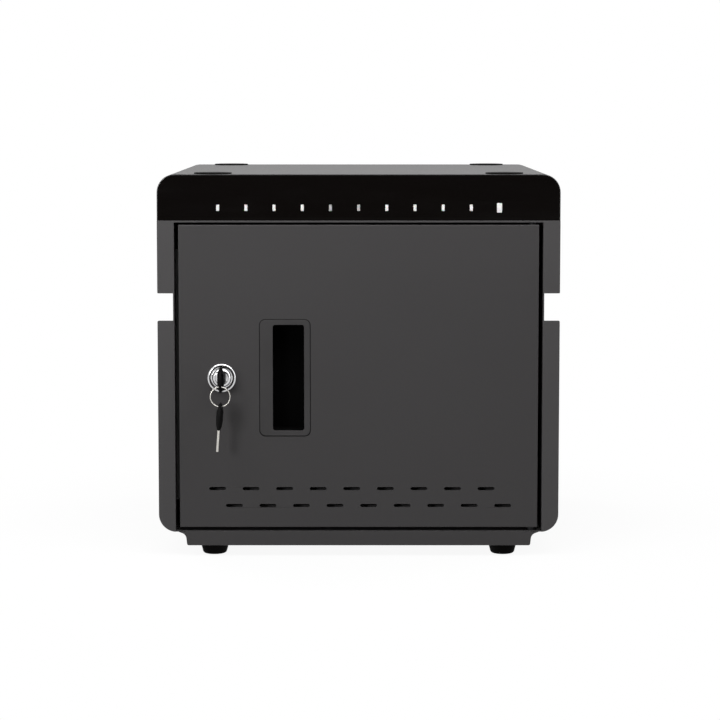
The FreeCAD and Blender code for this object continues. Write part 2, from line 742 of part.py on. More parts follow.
def make_inlet():
    middle_x = INLET_X
    body_depth = (f"{REAR_OUT} - inlet_body_depth", REAR_OUT)
    body = fitting_block("inlet_body", middle_x, "inlet", INLET_Z, body_depth, "0")
    flange = fitting_block("inlet_rim", middle_x, "inlet", INLET_Z, (REAR_OUT, RIM_OUT), "inlet_flange")
    socket_top = f"({INLET_Z} + inlet_height / 2 - socket_edge)"
    socket_z = (f"{socket_top} - socket_height", socket_top)
    socket_floor = f"({RIM_OUT} - socket_depth)"
    socket = box("inlet_socket_space", both_sides_of(middle_x, "socket_width / 2"),
                 (socket_floor, f"{RIM_OUT} + overrun"), socket_z)
    pocket = box("inlet_fuse_space", both_sides_of(middle_x, "fuse_width / 2 + slip"),
                 (f"{RIM_OUT} - fuse_depth - slip", f"{RIM_OUT} + overrun"), fuse_heights("slip"))
    node("inlet_socket", cut("inlet_socket", fuse("inlet_solid", body, flange), socket, pocket))
    pins = []
    for index in (-1, 0, 1):
        x = f"{INLET_X} + {index} * pin_spacing"
        z = f"{socket_top} - socket_height / 2 + {1 - 2 * abs(index)} / 2 * pin_offset"
        pin = box(f"inlet_pin_{index + 2}", both_sides_of(x, "pin_thickness / 2"),
                  (socket_floor, f"{socket_floor} + pin_length"), both_sides_of(z, "pin_width / 2"))
        pins.append(pin)
    node("inlet_pins", group("inlet_pins", *pins))


def make_fuse_drawer():
    low, high = fuse_heights("0")
    drawer = box("fuse_block", both_sides_of(INLET_X, "fuse_width / 2"),
                 (f"{RIM_OUT} - fuse_depth", RIM_OUT), (low, high))
    pull = box("fuse_pull_groove", both_sides_of(INLET_X, "fuse_width / 4"),
               (f"{RIM_OUT} - fuse_pull", f"{RIM_OUT} + overrun"),
               (f"{low} + fuse_height / 4", f"{high} - fuse_height / 4"))
    node("fuse_drawer", cut("fuse_drawer", drawer, pull))


def fuse_heights(clearance):
    low = f"{INLET_Z} - inlet_height / 2 + socket_edge"
    return (f"{low} - {clearance}", f"{low} + fuse_height + {clearance}")


def make_switch():
    body_depth = (f"{REAR_OUT} - switch_body_depth", REAR_OUT)
    body = fitting_block("switch_body", SWITCH_X, "switch", INLET_Z, body_depth, "0")
    flange = fitting_block("switch_rim", SWITCH_X, "switch", INLET_Z, (REAR_OUT, RIM_OUT), "switch_flange")
    well_depth = (f"{body_depth[0]} + switch_wall", f"{RIM_OUT} + overrun")
    well = fitting_block("switch_well", SWITCH_X, "switch", INLET_Z, well_depth, "(-switch_wall)")
    pivot_depth = f"{RIM_OUT} - rocker_sink"
    pivot_length = "(switch_width - switch_wall)"
    bearing = rod("switch_bearing", "x", "rocker_pivot + 2 * running_fit", f"{pivot_length} + 2 * slip",
                  f"{SWITCH_X} - {pivot_length} / 2 - slip", pivot_depth, INLET_Z)
    node("switch_housing", cut("switch_housing", fuse("switch_solid", body, flange), well, bearing))
    radius = "(switch_height / 2 - switch_wall - slip)"
    length = "(switch_width - 2 * switch_wall - 2 * slip)"
    rocker = doc.addObject("PartDesign::Body", "switch_rocker")
    disc(rocker, "drum", f"2 * {radius}", f"({pivot_length} - {length}) / 2", length)
    disc(rocker, "pivot", "rocker_pivot", "0", pivot_length)
    flat = "rocker_sink / 2"
    beyond = [(f"-2 * {radius}", flat), (f"2 * {radius}", flat), (f"2 * {radius}", f"2 * {radius}"),
              (f"-2 * {radius}", f"2 * {radius}")]
    face = rocker.newObject("PartDesign::Pocket", "rocker_face")
    face.Profile = outline(rocker, "rocker_beyond", "XY_Plane", beyond)
    face.Reversed = True
    bind(face, Length=pivot_length)
    turn = ALONG["x"].multiply(FreeCAD.Rotation(Z_AXIS, ROCKER_TILT))
    rocker.Placement = FreeCAD.Placement(FreeCAD.Vector(), turn)
    node("switch_rocker", place(rocker, f"{SWITCH_X} - {pivot_length} / 2", pivot_depth, INLET_Z))


def make_fan():
    depth = (f"{REAR_IN} - fan_depth", REAR_IN)
    half = "(fan_size / 2)"
    frame = block_body("fan_block", both_sides_of(FAN_X, half), depth, both_sides_of(FAN_Z, half))
    round_edges(frame, "fan_corner", "y", "left low", "right low", "left top", "right top")
    bore = rod("fan_bore_hole", "y", "fan_bore", "fan_depth + 2 * overrun", FAN_X,
               f"{depth[0]} - overrun", FAN_Z)
    motor = rod("fan_motor", "y", "hub_diameter", "motor_thickness", FAN_X, depth[0], FAN_Z)
    strut_depth = (depth[0], f"{depth[0]} + motor_thickness")
    across = box("fan_strut_level", both_sides_of(FAN_X, half), strut_depth,
                 both_sides_of(FAN_Z, "strut_width / 2"))
    upright = box("fan_strut_upright", both_sides_of(FAN_X, "strut_width / 2"), strut_depth,
                  both_sides_of(FAN_Z, half))
    solid = fuse("fan_solid", cut("fan_ring", frame, bore), motor, across, upright)
    bearing = rod("fan_bearing", "y", "shaft_diameter + 2 * running_fit", "motor_thickness + overrun",
                  FAN_X, f"{depth[0]} - overrun", FAN_Z)
    node("fan_frame", cut("fan_frame", solid, bearing))
    rotor = doc.addObject("PartDesign::Body", "fan_rotor")
    disc(rotor, "hub", "hub_diameter", "motor_thickness + slip", "hub_length")
    disc(rotor, "shaft", "shaft_diameter", "0", "motor_thickness + slip + hub_length / 2")
    foot = "motor_thickness + 2 * slip"
    tip = "motor_thickness + hub_length"
    blade = [("0", foot), ("blade_thickness", foot), ("blade_run + blade_thickness", tip), ("blade_run", tip)]
    arm = pad(rotor, outline(rotor, "blade_outline", "YZ_Plane", blade), "rotor_diameter / 2 - blade_run / 4")
    ring = rotor.newObject("PartDesign::PolarPattern", "blade_ring")
    ring.Originals = [arm]
    ring.Axis = ([axis for axis in rotor.Origin.OriginFeatures if axis.Role == "Z_Axis"][0], [""])
    ring.Occurrences = BLADE_COUNT
    rotor.Tip = ring
    doc.recompute()
    rotor.Placement = FreeCAD.Placement(FreeCAD.Vector(), ALONG["y"])
    node("fan_rotor", place(rotor, FAN_X, depth[0], FAN_Z))


def disc(body, name, diameter, low, height):
    """A round boss of a body about its own Z axis."""
    drawing = body.newObject("Sketcher::SketchObject", f"{body.Name}_{name}")
    plane = [feature for feature in body.Origin.OriginFeatures if feature.Role == "XY_Plane"][0]
    drawing.AttachmentSupport = [(plane, "")]
    drawing.MapMode = "FlatFace"
    bind(drawing, AttachmentOffset__Base__z=low)
    drawing.addGeometry(Part.Circle(FreeCAD.Vector(), Z_AXIS, 1))
    drawing.addConstraint(Sketcher.Constraint("Coincident", 0, 3, -1, 1))
    number = drawing.addConstraint(Sketcher.Constraint("Radius", 0, 1))
    bind(drawing, **{f"Constraints[{number}]": f"({diameter}) / 2"})
    doc.recompute()
    return pad(body, drawing, height)


def make_plinth():
    side = f"({HALF} - plinth_inset)"
    flare = f"({side} + plinth_flare)"
    base = f"({side} - plinth_taper)"
    top = SHELL_LOW
    drop = f"({SHELL_LOW} - plinth_flare_drop)"
    half = [(flare, top), (side, drop), (base, "foot_height")]
    points = half + [(f"-{across}", up) for across, up in reversed(half)]
    body = doc.addObject("PartDesign::Body", "plinth_block")
    length = "cabinet_depth - plinth_rear_gap"
    pad(body, outline(body, "plinth_outline", "XZ_Plane", points), length, True)
    limits = body.Tip.Shape.BoundBox

    def under_flare(edge):
        level = edge.BoundBox
        return (level.ZLength < SAME_PLACE and level.ZMin > limits.ZMin + SAME_PLACE
                and level.ZMax < limits.ZMax - SAME_PLACE)

    room_for_fillet = "plinth_height - plinth_lap - plinth_flare_drop - 2 * plinth_round"
    fillet(body, f"min(plinth_fillet; {room_for_fillet})", under_flare)
    round_edges(body, "plinth_round", "y", "low")
    place(body, "0", "0", "0")
    inside = both_sides(f"{base} - plinth_wall")
    room = box("plinth_room", inside, ("plinth_wall", f"{length} - plinth_wall"),
               ("foot_height + plinth_wall", f"{SHELL_LOW} + overrun"))
    lip = box("plinth_lip", both_sides(side), ("0", "face_thickness"), (drop, "foot_height + plinth_height"))
    holes = []
    for number, (x, depth) in enumerate(foot_places()):
        hole = rod(f"plinth_hole_{number}", "z", "foot_screw_diameter + 2 * fit", "plinth_wall + 2 * overrun",
                   x, depth, "foot_height - overrun")
        holes.append(hole)
    tray = cut("plinth_tray", body, room, *holes)
    node("base_tray", fuse("base_tray", tray, lip))


def foot_places():
    """The four corners where a foot stands below and a pad lies on top."""
    rows = ("foot_edge", "cabinet_depth - foot_edge")
    return [(f"{side}({HALF} - foot_inset)", depth) for _, side in SIDES for depth in rows]


def make_feet_and_pads():
    feet = []
    screws = []
    pads = []
    for number, (x, depth) in enumerate(foot_places()):
        cone = doc.addObject("Part::Cone", f"foot_cone_{number}")
        bind(cone, Radius1="foot_bottom_diameter / 2", Radius2="foot_top_diameter / 2", Height="foot_height")
        place(cone, x, depth, "0")
        doc.recompute()
        rim = [(index, sizes.get("foot_round"), sizes.get("foot_round")) for index, edge
               in enumerate(cone.Shape.Edges, 1) if edge.BoundBox.ZMax < sizes.get("foot_round")]
        rounded = doc.addObject("Part::Fillet", f"foot_rounded_{number}")
        rounded.Base = cone
        rounded.Edges = rim
        recess = rod(f"foot_recess_{number}", "z", "foot_recess_diameter", "foot_recess_depth + overrun",
                     x, depth, "-overrun")
        hole = rod(f"foot_hole_{number}", "z", "foot_screw_diameter + 2 * fit", "foot_height + 2 * overrun",
                   x, depth, "-overrun")
        feet.append(cut(f"foot_{number}", rounded, recess, hole))
        head_low = "foot_recess_depth - foot_screw_head_height"
        head = rod(f"foot_head_{number}", "z", "foot_screw_head", "foot_screw_head_height",
                   x, depth, head_low)
        reach = "foot_height + plinth_wall - foot_recess_depth + foot_screw_end"
        shank = rod(f"foot_shank_{number}", "z", "foot_screw_diameter", reach, x, depth, "foot_recess_depth")
        screws.append(fuse(f"foot_screw_{number}", head, shank))
        pads.append(rod(f"pad_{number}", "z", "pad_diameter", "pad_thickness", x, depth, SHELL_TOP))
    node("rubber_feet", group("rubber_feet", *feet))
    node("foot_screws", group("foot_screws", *screws))
    node("stacking_pads", group("stacking_pads", *pads))


def vent_slots(name, depth):
    """Two rows of level slots low in the door, one shifted by half a pitch against the other."""
    slots = []
    for row in (0, 1):
        z = f"{DOOR_LOW} + slot_rise + {row} * slot_row_pitch"
        for index in range(SLOT_COUNT):
            x = f"slot_shift + ({index} - {SLOT_COUNT - 1} / 2 + {1 - 2 * row} / 4) * {SLOT_PITCH}"
            label = f"{name}_{row}_{index}"
            reach = both_sides_of(x, "(slot_length - slot_height) / 2")
            slots.append(box(f"{label}_middle", reach, depth, both_sides_of(z, "slot_height / 2")))
            for (hand, _), end in zip(SIDES, reach):
                slots.append(rod(f"{label}_{hand}", "y", "slot_height", span(depth), end, depth[0], z))
    return slots


def pull_hole(name, depth):
    """The door's opening for the cup of the pull."""
    x = both_sides_of(PULL_X, "pull_width / 2 - pull_seat + fit")
    z = both_sides_of(HANDLE_Z, "pull_height / 2 - pull_seat + fit")
    return box(name, x, depth, z)


def lock_hole(name, depth):
    """The door's hole for the barrel of the lock."""
    return rod(name, "y", "barrel_diameter + 2 * fit", span(depth), LOCK_X, depth[0], HANDLE_Z)


def make_door():
    x = (DOOR_LEFT, DOOR_RIGHT)
    z = (DOOR_LOW, DOOR_TOP)
    shell = block_body("door_pan", x, ("0", "door_depth"), z)
    hollow(shell, "sheet", "back")
    round_edges(shell, "door_edge_round", None, "front left", "front right", "front low", "front top")
    through = ("-overrun", "sheet + overrun")
    tools = [pull_hole("door_pull_hole", through), lock_hole("door_lock_hole", through)]
    tools += vent_slots("door_slot", through)
    for name, low in (("low", DOOR_LOW), ("top", f"{DOOR_TOP} - sheet")):
        hole = rod(f"door_bush_hole_{name}", "z", "bush_diameter + 2 * fit", "sheet + 2 * overrun",
                   HINGE_X, "hinge_setback", f"{low} - overrun")
        tools.append(hole)
    node("door_panel", cut("door_panel", shell, *tools))


def make_door_liner():
    edge = "(sheet + fit)"
    x = (f"{DOOR_LEFT} + {edge}", f"{DOOR_RIGHT} - {edge}")
    z = (f"{DOOR_LOW} + {edge}", f"{DOOR_TOP} - {edge}")
    plate = box("liner_plate", x, ("door_depth - liner_thickness", "door_depth"), z)
    through = ("door_depth - liner_thickness - overrun", "door_depth + overrun")
    tools = [pull_hole("liner_pull_hole", through), lock_hole("liner_lock_hole", through)]
    tools += vent_slots("liner_slot", through)
    node("door_liner", cut("door_liner", plate, *tools))


def make_pull():
    depth = ("-pull_proud", "0")
    bezel = block_body("pull_bezel", both_sides_of(PULL_X, "pull_width / 2"), depth,
                       both_sides_of(HANDLE_Z, "pull_height / 2"))
    round_edges(bezel, "pull_round", "y", "left low", "right low", "left top", "right top")
    cup_x = both_sides_of(PULL_X, "pull_width / 2 - pull_seat")
    cup_z = both_sides_of(HANDLE_Z, "pull_height / 2 - pull_seat")
    cup = box("pull_cup_block", cup_x, ("0", "pull_depth"), cup_z)
    opening_x = (f"{PULL_RIGHT} - pull_margin - pull_opening_width", f"{PULL_RIGHT} - pull_margin")
    opening_z = both_sides_of(HANDLE_Z, "pull_opening_height / 2")
    mouth = block_body("pull_mouth", opening_x, ("-pull_proud - overrun", "pull_lip + overrun"), opening_z)
    round_edges(mouth, "pull_opening_round", "y", "left low", "right low", "left top", "right top")
    room_x = (f"{cup_x[0]} + pull_wall", opening_x[1])
    room = box("pull_room", room_x, ("pull_lip", "pull_depth - pull_wall"), opening_z)
    node("pull_cup", cut("pull_cup", fuse("pull_solid", bezel, cup), mouth, room))


def hinge_rod(name, diameter, low, high):
    """A round piece on the door's hinge line, between two heights."""
    return rod(name, "z", diameter, span((low, high)), HINGE_X, "hinge_setback", low)


def make_hinge_pins():
    top_shank = hinge_rod("hinge_top_shank", "hinge_pin_diameter", f"{DOOR_TOP} - bush_length", FASCIA_LOW)
    head_top = f"{FASCIA_LOW} + hinge_pin_head_height"
    top_head = hinge_rod("hinge_top_head", "hinge_pin_head", FASCIA_LOW, head_top)
    low_shank = hinge_rod("hinge_low_shank", "hinge_pin_diameter", SHELL_LOW, f"{DOOR_LOW} + bush_length")
    collar_top = f"{DOOR_LOW} - bush_flange_thickness - slip"
    collar = hinge_rod("hinge_collar", "hinge_collar_diameter", FLOOR, collar_top)
    top = fuse("hinge_pin_top", top_shank, top_head)
    low = fuse("hinge_pin_low", low_shank, collar)
    node("hinge_pins", group("hinge_pins", top, low))


def make_hinge_bushes():
    ends = {
        "low": (DOOR_LOW, f"{DOOR_LOW} + bush_length", f"{DOOR_LOW} - bush_flange_thickness", DOOR_LOW),
        "top": (f"{DOOR_TOP} - bush_length", DOOR_TOP, DOOR_TOP, f"{DOOR_TOP} + bush_flange_thickness"),
    }
    bushes = []
    for name, (low, high, flange_low, flange_high) in ends.items():
        sleeve = hinge_rod(f"bush_sleeve_{name}", "bush_diameter", low, high)
        flange = hinge_rod(f"bush_flange_{name}", "bush_flange_diameter", flange_low, flange_high)
        bore = hinge_rod(f"bush_bore_{name}", "hinge_pin_diameter + 2 * running_fit", f"{low} - overrun",
                         f"{high} + overrun")
        bushes.append(cut(f"bush_{name}", fuse(f"bush_solid_{name}", sleeve, flange), bore))
    node("hinge_bushes", group("hinge_bushes", *bushes))


def make_door_stop():
    """The strip that the closed door rests against and the turned cam hooks behind."""
    face = f"({BARREL_END} - sheet)"
    x = (f"-{OPENING}", f"stop_width - {OPENING}")
    z = (f"{DOOR_LOW} + stop_margin", f"{DOOR_TOP} - stop_margin")
    node("door_stop", box("door_stop", x, (face, BARREL_END), z))
    depth = ("door_depth + slip", face)
    bumpers = []
    for name, sign in (("low", "-"), ("high", "+")):
        bumper = rod(f"bumper_{name}", "y", "bumper_diameter", span(depth), f"stop_width / 2 - {OPENING}",
                     depth[0], f"{HANDLE_Z} {sign} bumper_spacing / 2")
        bumpers.append(bumper)
    node("door_bumpers", group("door_bumpers", *bumpers))


def lock_rod(name, diameter, front, back):
    """A round piece on the lock's axis, between two depths."""
    return rod(name, "y", diameter, span((front, back)), LOCK_X, front, HANDLE_Z)


def make_lock():
    bezel = doc.addObject("PartDesign::Body", "lock_bezel")
    disc(bezel, "rim", "bezel_diameter", "0", "bezel_height")
    round_edges(bezel, "bezel_round", None, "low")
    bezel.Placement = FreeCAD.Placement(FreeCAD.Vector(), ALONG["y"])
    place(bezel, LOCK_X, "-bezel_height", HANDLE_Z)
    barrel = lock_rod("lock_barrel", "barrel_diameter", "0", BARREL_END)
    bore = lock_rod("lock_bore", "plug_diameter + 2 * running_fit", "-bezel_height - overrun",
                    f"{BARREL_END} + overrun")
    node("lock_body", cut("lock_body", fuse("lock_solid", bezel, barrel), bore))
    nut = doc.addObject("Part::Prism", "nut_block")
    nut.Polygon = NUT_SIDES
    nut.Placement = FreeCAD.Placement(FreeCAD.Vector(), ALONG["y"])
    bind(nut, Circumradius="nut_across / sqrt(3)", Height="nut_thickness")
    place(nut, LOCK_X, "sheet", HANDLE_Z)
    hole = lock_rod("nut_hole", "barrel_diameter + 2 * running_fit", "sheet - overrun",
                    "sheet + nut_thickness + overrun")
    node("lock_nut", cut("lock_nut", nut, hole))


def make_plug_and_cam():
    front = "(plug_recess - bezel_height)"
    cam_front = f"({BARREL_END} + slip)"
    tail_end = f"({cam_front} + cam_thickness)"
    screw_front = f"({tail_end} - cam_screw_length)"
    plug = lock_rod("plug_drum", "plug_diameter", front, BARREL_END)
    tail = lock_rod("plug_tail", "plug_tail_diameter", BARREL_END, tail_end)
    keyway = box("plug_keyway", both_sides_of(LOCK_X, "key_thickness / 2 + slip"),
                 (f"{front} - overrun", KEY_END), both_sides_of(HANDLE_Z, "blade_width / 2 + slip"))
    thread = lock_rod("plug_thread", "cam_screw_diameter + 2 * running_fit", screw_front,
                      f"{tail_end} + overrun")
    node("lock_plug", cut("lock_plug", fuse("plug_solid", plug, tail), keyway, thread))
    cam = block_body("cam_plate", both_sides_of(LOCK_X, "cam_width / 2"), (cam_front, tail_end),
                     (f"{HANDLE_Z} - cam_length", f"{HANDLE_Z} + cam_width / 2"))
    round_edges(cam, "cam_width / 2 - fit", "y", "left top", "right top")
    hole = lock_rod("cam_hole", "plug_tail_diameter + 2 * running_fit", f"{cam_front} - overrun",
                    f"{tail_end} + overrun")
    node("lock_cam", cut("lock_cam", cam, hole))
    head = lock_rod("cam_screw_cap", "cam_screw_head", tail_end, f"{tail_end} + cam_screw_head_height")
    shank = lock_rod("cam_screw_shank", "cam_screw_diameter", screw_front, tail_end)
    node("cam_screw", fuse("cam_screw", head, shank))


def make_key():
    start = "-bow_gap"
    bow_depth = (f"-{KEY_REACH} - eye_inset", start)
    bow = block_body("key_head", both_sides_of(LOCK_X, "bow_thickness / 2"), bow_depth,
                     both_sides_of(HANDLE_Z, "bow_width / 2"))
    round_edges(bow, "bow_round", "x", "front low", "front top", "back low", "back top")
    eye = box("key_eye", both_sides_of(LOCK_X, "bow_thickness"),
              both_sides_of(f"-{KEY_REACH}", "eye_height / 2"), both_sides_of(HANDLE_Z, "eye_length / 2"))
    thin = both_sides_of(LOCK_X, "key_thickness / 2")
    wide = both_sides_of(HANDLE_Z, "blade_width / 2")
    pocket = box("key_pocket", thin, (f"{start} - blade_tang", f"{start} + overrun"), wide)
    node("key_bow", cut("key_bow", bow, eye, pocket))
    blade_depth = (f"{start} - blade_tang", f"{start} + blade_length")
    node("key_blade", box("key_blade", thin, blade_depth, wide))


def make_key_ring():
    ring = doc.addObject("Part::Torus", "key_ring")
    ring.Placement = FreeCAD.Placement(FreeCAD.Vector(), ALONG["y"])
    bind(ring, Radius1="ring_radius", Radius2="ring_wire")
    node("key_ring", place(ring, LOCK_X, f"-{KEY_REACH}", RING_Z))


def make_spare_key():
    middle = f"-{KEY_REACH}"
    low = f"({SPARE_TOP} - bow_length)"
    bow = block_body("spare_head", both_sides_of(LOCK_X, "bow_thickness / 2"),
                     both_sides_of(middle, "bow_width / 2"), (low, SPARE_TOP))
    round_edges(bow, "bow_round", "x", "front low", "front top", "back low", "back top")
    eye = box("spare_eye", both_sides_of(LOCK_X, "bow_thickness"), both_sides_of(middle, "eye_length / 2"),
              both_sides_of(f"{SPARE_TOP} - eye_inset", "eye_height / 2"))
    thin = both_sides_of(LOCK_X, "key_thickness / 2")
    wide = both_sides_of(middle, "blade_width / 2")
    pocket = box("spare_pocket", thin, wide, (f"{low} - overrun", f"{low} + blade_tang"))
    node("spare_key_bow", cut("spare_key_bow", bow, eye, pocket))
    blade_z = (f"{low} - blade_length", f"{low} + blade_tang")
    node("spare_key_blade", box("spare_key_blade", thin, wide, blade_z))


def write_nodes():
    """Checks every object, then writes one file per sub-part."""
    doc.recompute()
    failed = [thing.Name for thing in doc.Objects if {"Invalid", "Error"} & set(thing.State)]
    if failed:
        raise RuntimeError(f"objects that failed: {failed}")
    for thing in NODES:
        if thing.Shape.isNull() or not thing.Shape.isValid() or not thing.Shape.Solids:
            raise RuntimeError(f"{thing.Label} has no valid solid")
    os.makedirs("parts", exist_ok=True)
    for thing in NODES:
        thing.Shape.exportStep(f"parts/{thing.Label}.step")
    print(f"{len(NODES)} nodes written")


make_upper_cover()
make_lower_shell()
make_front_frame()
make_fascia()
make_led_board()
make_grip_ledges()
make_liners()
make_ceiling_and_partition()
make_charger_board()
make_rack()
make_rear_panel()
make_rear_screws()
make_power_supply()
make_inlet()
make_fuse_drawer()
make_switch()
make_fan()
make_plinth()
make_feet_and_pads()
make_door()
make_door_liner()
make_pull()
make_hinge_pins()
make_hinge_bushes()
make_door_stop()
make_lock()
make_plug_and_cam()
make_key()
make_key_ring()
make_spare_key()
write_nodes()
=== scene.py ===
"""Looks of a desktop charging cabinet for ten tablets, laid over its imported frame."""
import json
import math

import bmesh
import bpy
from bpy.props import FloatProperty, FloatVectorProperty, PointerProperty
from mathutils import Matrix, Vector


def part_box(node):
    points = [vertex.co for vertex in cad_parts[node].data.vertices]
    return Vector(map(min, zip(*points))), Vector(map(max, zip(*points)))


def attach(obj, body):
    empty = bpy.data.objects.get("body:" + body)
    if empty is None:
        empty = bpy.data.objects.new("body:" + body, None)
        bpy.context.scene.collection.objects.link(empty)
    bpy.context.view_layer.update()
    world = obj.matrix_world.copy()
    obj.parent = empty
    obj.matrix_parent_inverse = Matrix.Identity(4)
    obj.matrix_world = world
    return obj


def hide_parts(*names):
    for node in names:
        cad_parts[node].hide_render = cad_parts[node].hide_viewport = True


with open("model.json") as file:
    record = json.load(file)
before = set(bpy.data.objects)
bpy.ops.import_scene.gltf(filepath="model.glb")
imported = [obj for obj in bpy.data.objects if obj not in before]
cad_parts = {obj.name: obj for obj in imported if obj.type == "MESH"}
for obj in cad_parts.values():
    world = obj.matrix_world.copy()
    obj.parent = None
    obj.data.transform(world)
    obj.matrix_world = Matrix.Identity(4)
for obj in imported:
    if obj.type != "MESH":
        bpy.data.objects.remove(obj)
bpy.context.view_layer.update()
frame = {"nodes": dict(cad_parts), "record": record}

bl_info = {
    "name": "Charging Cabinet",
    "version": (1, 0, 0),
    "blender": (4, 5, 0),
    "location": "View3D > Sidebar > Cabinet",
    "description": "Dresses the packed frame of a desktop charging cabinet and sets its stage",
    "category": "Object",
}

WHOLE_TURN = 2 * math.pi
QUARTER_TURN = math.pi / 2
AXIS_X = Vector((1, 0, 0))
AXIS_Y = Vector((0, 1, 0))
AXIS_Z = Vector((0, 0, 1))
MILLIMETRE = 0.001

# tolerances: points merged into one, equal places, equal directions, faces in one plane
MERGE_GAP = 1e-6
NEAR = 0.0001
ALIGNED = 0.999
FLAT_ANGLE = math.radians(0.3)

# range that most of a noise's values lie in
NOISE_SPAN = (0.3, 0.7)

LENS_COUNT = 10
PORT_COUNT = 10
DIVIDER_COUNT = 11
# windows given a darker copy of the window finish: painted shade for the unlit lights behind them
PAINTED_DIM_LENSES = (4, 5)
FACE_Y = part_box("door_panel")[0].y
LOCK_MIDDLE = (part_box("lock_body")[0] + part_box("lock_body")[1]) / 2
RING_MIDDLE = (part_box("key_ring")[0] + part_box("key_ring")[1]) / 2
PULL_LOW, PULL_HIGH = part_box("pull_cup")

# (radius, depth) of the lock's turned face in millimetres, from the plug's hole out to the door
LOCK_OUTLINE = (
    (6.05, -2.55), (6.3, -2.7), (6.6, -2.65), (7.5, -2.25), (8.3, -1.75), (8.8, -1.3),
    (9.1, -0.95), (9.3, -0.9), (11.4, -0.9), (11.6, -1.1), (11.75, -2.5), (11.9, -2.75),
    (12.1, -2.78), (13.2, -2.05), (13.5, -1.7), (13.6, -1.2), (13.6, 0.0), (9.0, 0.0),
)

# cuts of a key's blade: distance below the key's eye, and depth
KEY_CUTS = {0.026: 0.0012, 0.029: 0.0020, 0.032: 0.0008, 0.035: 0.0017, 0.038: 0.0011}

# steps along a blade, those without a groove at its tip, and the tip's scale
BLADE_STEPS = 26
GROOVE_STOP = 3
TIP_SCALE = (0.7, 0.45, 1)

# share of a key head's half thickness at which its sides are cut flat
BOW_FLAT = 0.86

# (share of the radius, height in millimetres) of a screw's head, shares of the radius that its
# cross takes up, and the turn in radians from one screw's cross to the next
SCREW_OUTLINE = ((0.0, 1.8), (0.45, 1.76), (0.8, 1.4), (0.97, 0.8), (1.0, 0.0), (0.0, 0.0))
CROSS_REACH = 0.55
CROSS_HALF = 0.13
SCREW_TURN = 0.5

# place and size of each lamp, and the spot they all face
LAMPS = {
    "top_lamp": ((0, -0.60, 0.90), (1.5, 0.4)),
    "left_lamp": ((-1.1, -2.0, 0.5), (0.5, 0.5)),
    "right_lamp": ((1.7, -1.3, 0.7), (0.5, 1.4)),
    "rear_lamp": ((-1.5, 1.5, 1.0), (1.0, 1.0)),
    "side_lamp": ((1.8, 0.9, 0.8), (0.8, 1.0)),
}
LAMP_AIM = Vector((0, 0, 0.2))

# dark card: distance behind the camera, height of its middle, width and height
CARD_BEHIND = 0.6
CARD_MIDDLE = 1.0
CARD_SIZE = (4.0, 2.0)

# floor: its width, and the share of its own glow near the cabinet and further away
FLOOR_SIZE = 6
GLOW_REACH = (0.2, 0.5)
GLOW_SHARE = (0.92, 1.0)

SENSOR_WIDTH = 36
WHITE = (1, 1, 1)


# values that a user would change

def tint_value(name, description, default):
    """A colour setting."""
    return FloatVectorProperty(name=name, description=description, default=default, size=3, min=0, max=1,
                               subtype="COLOR")


def length_value(name, description, default):
    """A length setting, in metres."""
    return FloatProperty(name=name, description=description, default=default, min=0, precision=5,
                         unit="LENGTH")


def power_value(name, description, default):
    """A lamp's power setting, in watts."""
    return FloatProperty(name=name, description=description, default=default, min=0, unit="POWER")


class CabinetFinishes(bpy.types.PropertyGroup):
    """Colours of the cabinet's finishes."""
    paint: tint_value("Paint", "Satin powder coat of the case and the door", (0.0418, 0.0399, 0.0407))
    # the case paint made lighter: painted light for the frame round the door, which is lit more brightly
    frame_paint: tint_value("Frame paint", "Coat of the frame round the door", (0.0575, 0.0553, 0.0563))
    strip: tint_value("Strip", "Gloss black of the light strip", (0.0035, 0.0028, 0.0026))
    lens: tint_value("Windows", "Milky white of the light windows", (0.78, 0.77, 0.76))
    # a greyed copy of the window white: painted shade of an unlit light
    dim_lens_painted_shade: tint_value("Dim windows", "White of a window over a shaded light", (0.42, 0.41, 0.41))
    rubber: tint_value("Rubber", "Black rubber of feet and pads", (0.0022, 0.0020, 0.0019))
    bow: tint_value("Key heads", "Black plastic of the keys' heads", (0.0032, 0.0031, 0.0032))
    moulding: tint_value("Moulding", "Black plastic of fan and fittings", (0.0045, 0.0044, 0.0046))
    rack: tint_value("Rack", "Grey plastic of the rack and its dividers", (0.030, 0.031, 0.033))
    pull: tint_value("Pull", "Grey plastic of the pull's plate", (0.0312, 0.0298, 0.0304))
    # near-black put inside the pull: painted shade of the deep recess
    recess: tint_value("Recess", "Black inside the pull", (0.0004, 0.0004, 0.0004))
    chrome: tint_value("Chrome", "Plated lock", (0.62, 0.62, 0.63))
    nickel: tint_value("Nickel", "Plated key blades and ring", (0.66, 0.64, 0.60))
    zinc: tint_value("Zinc", "Plated steel of ports and screws", (0.45, 0.46, 0.48))
    pin: tint_value("Pins", "Blackened steel of the hinge pins", (0.016, 0.016, 0.017))
    board: tint_value("Board", "Solder mask of the circuit boards", (0.008, 0.070, 0.030))
    track: tint_value("Tracks", "Copper tracks under the solder mask", (0.030, 0.140, 0.050))
    nylon: tint_value("Nylon", "Natural nylon of the standoffs", (0.60, 0.59, 0.54))


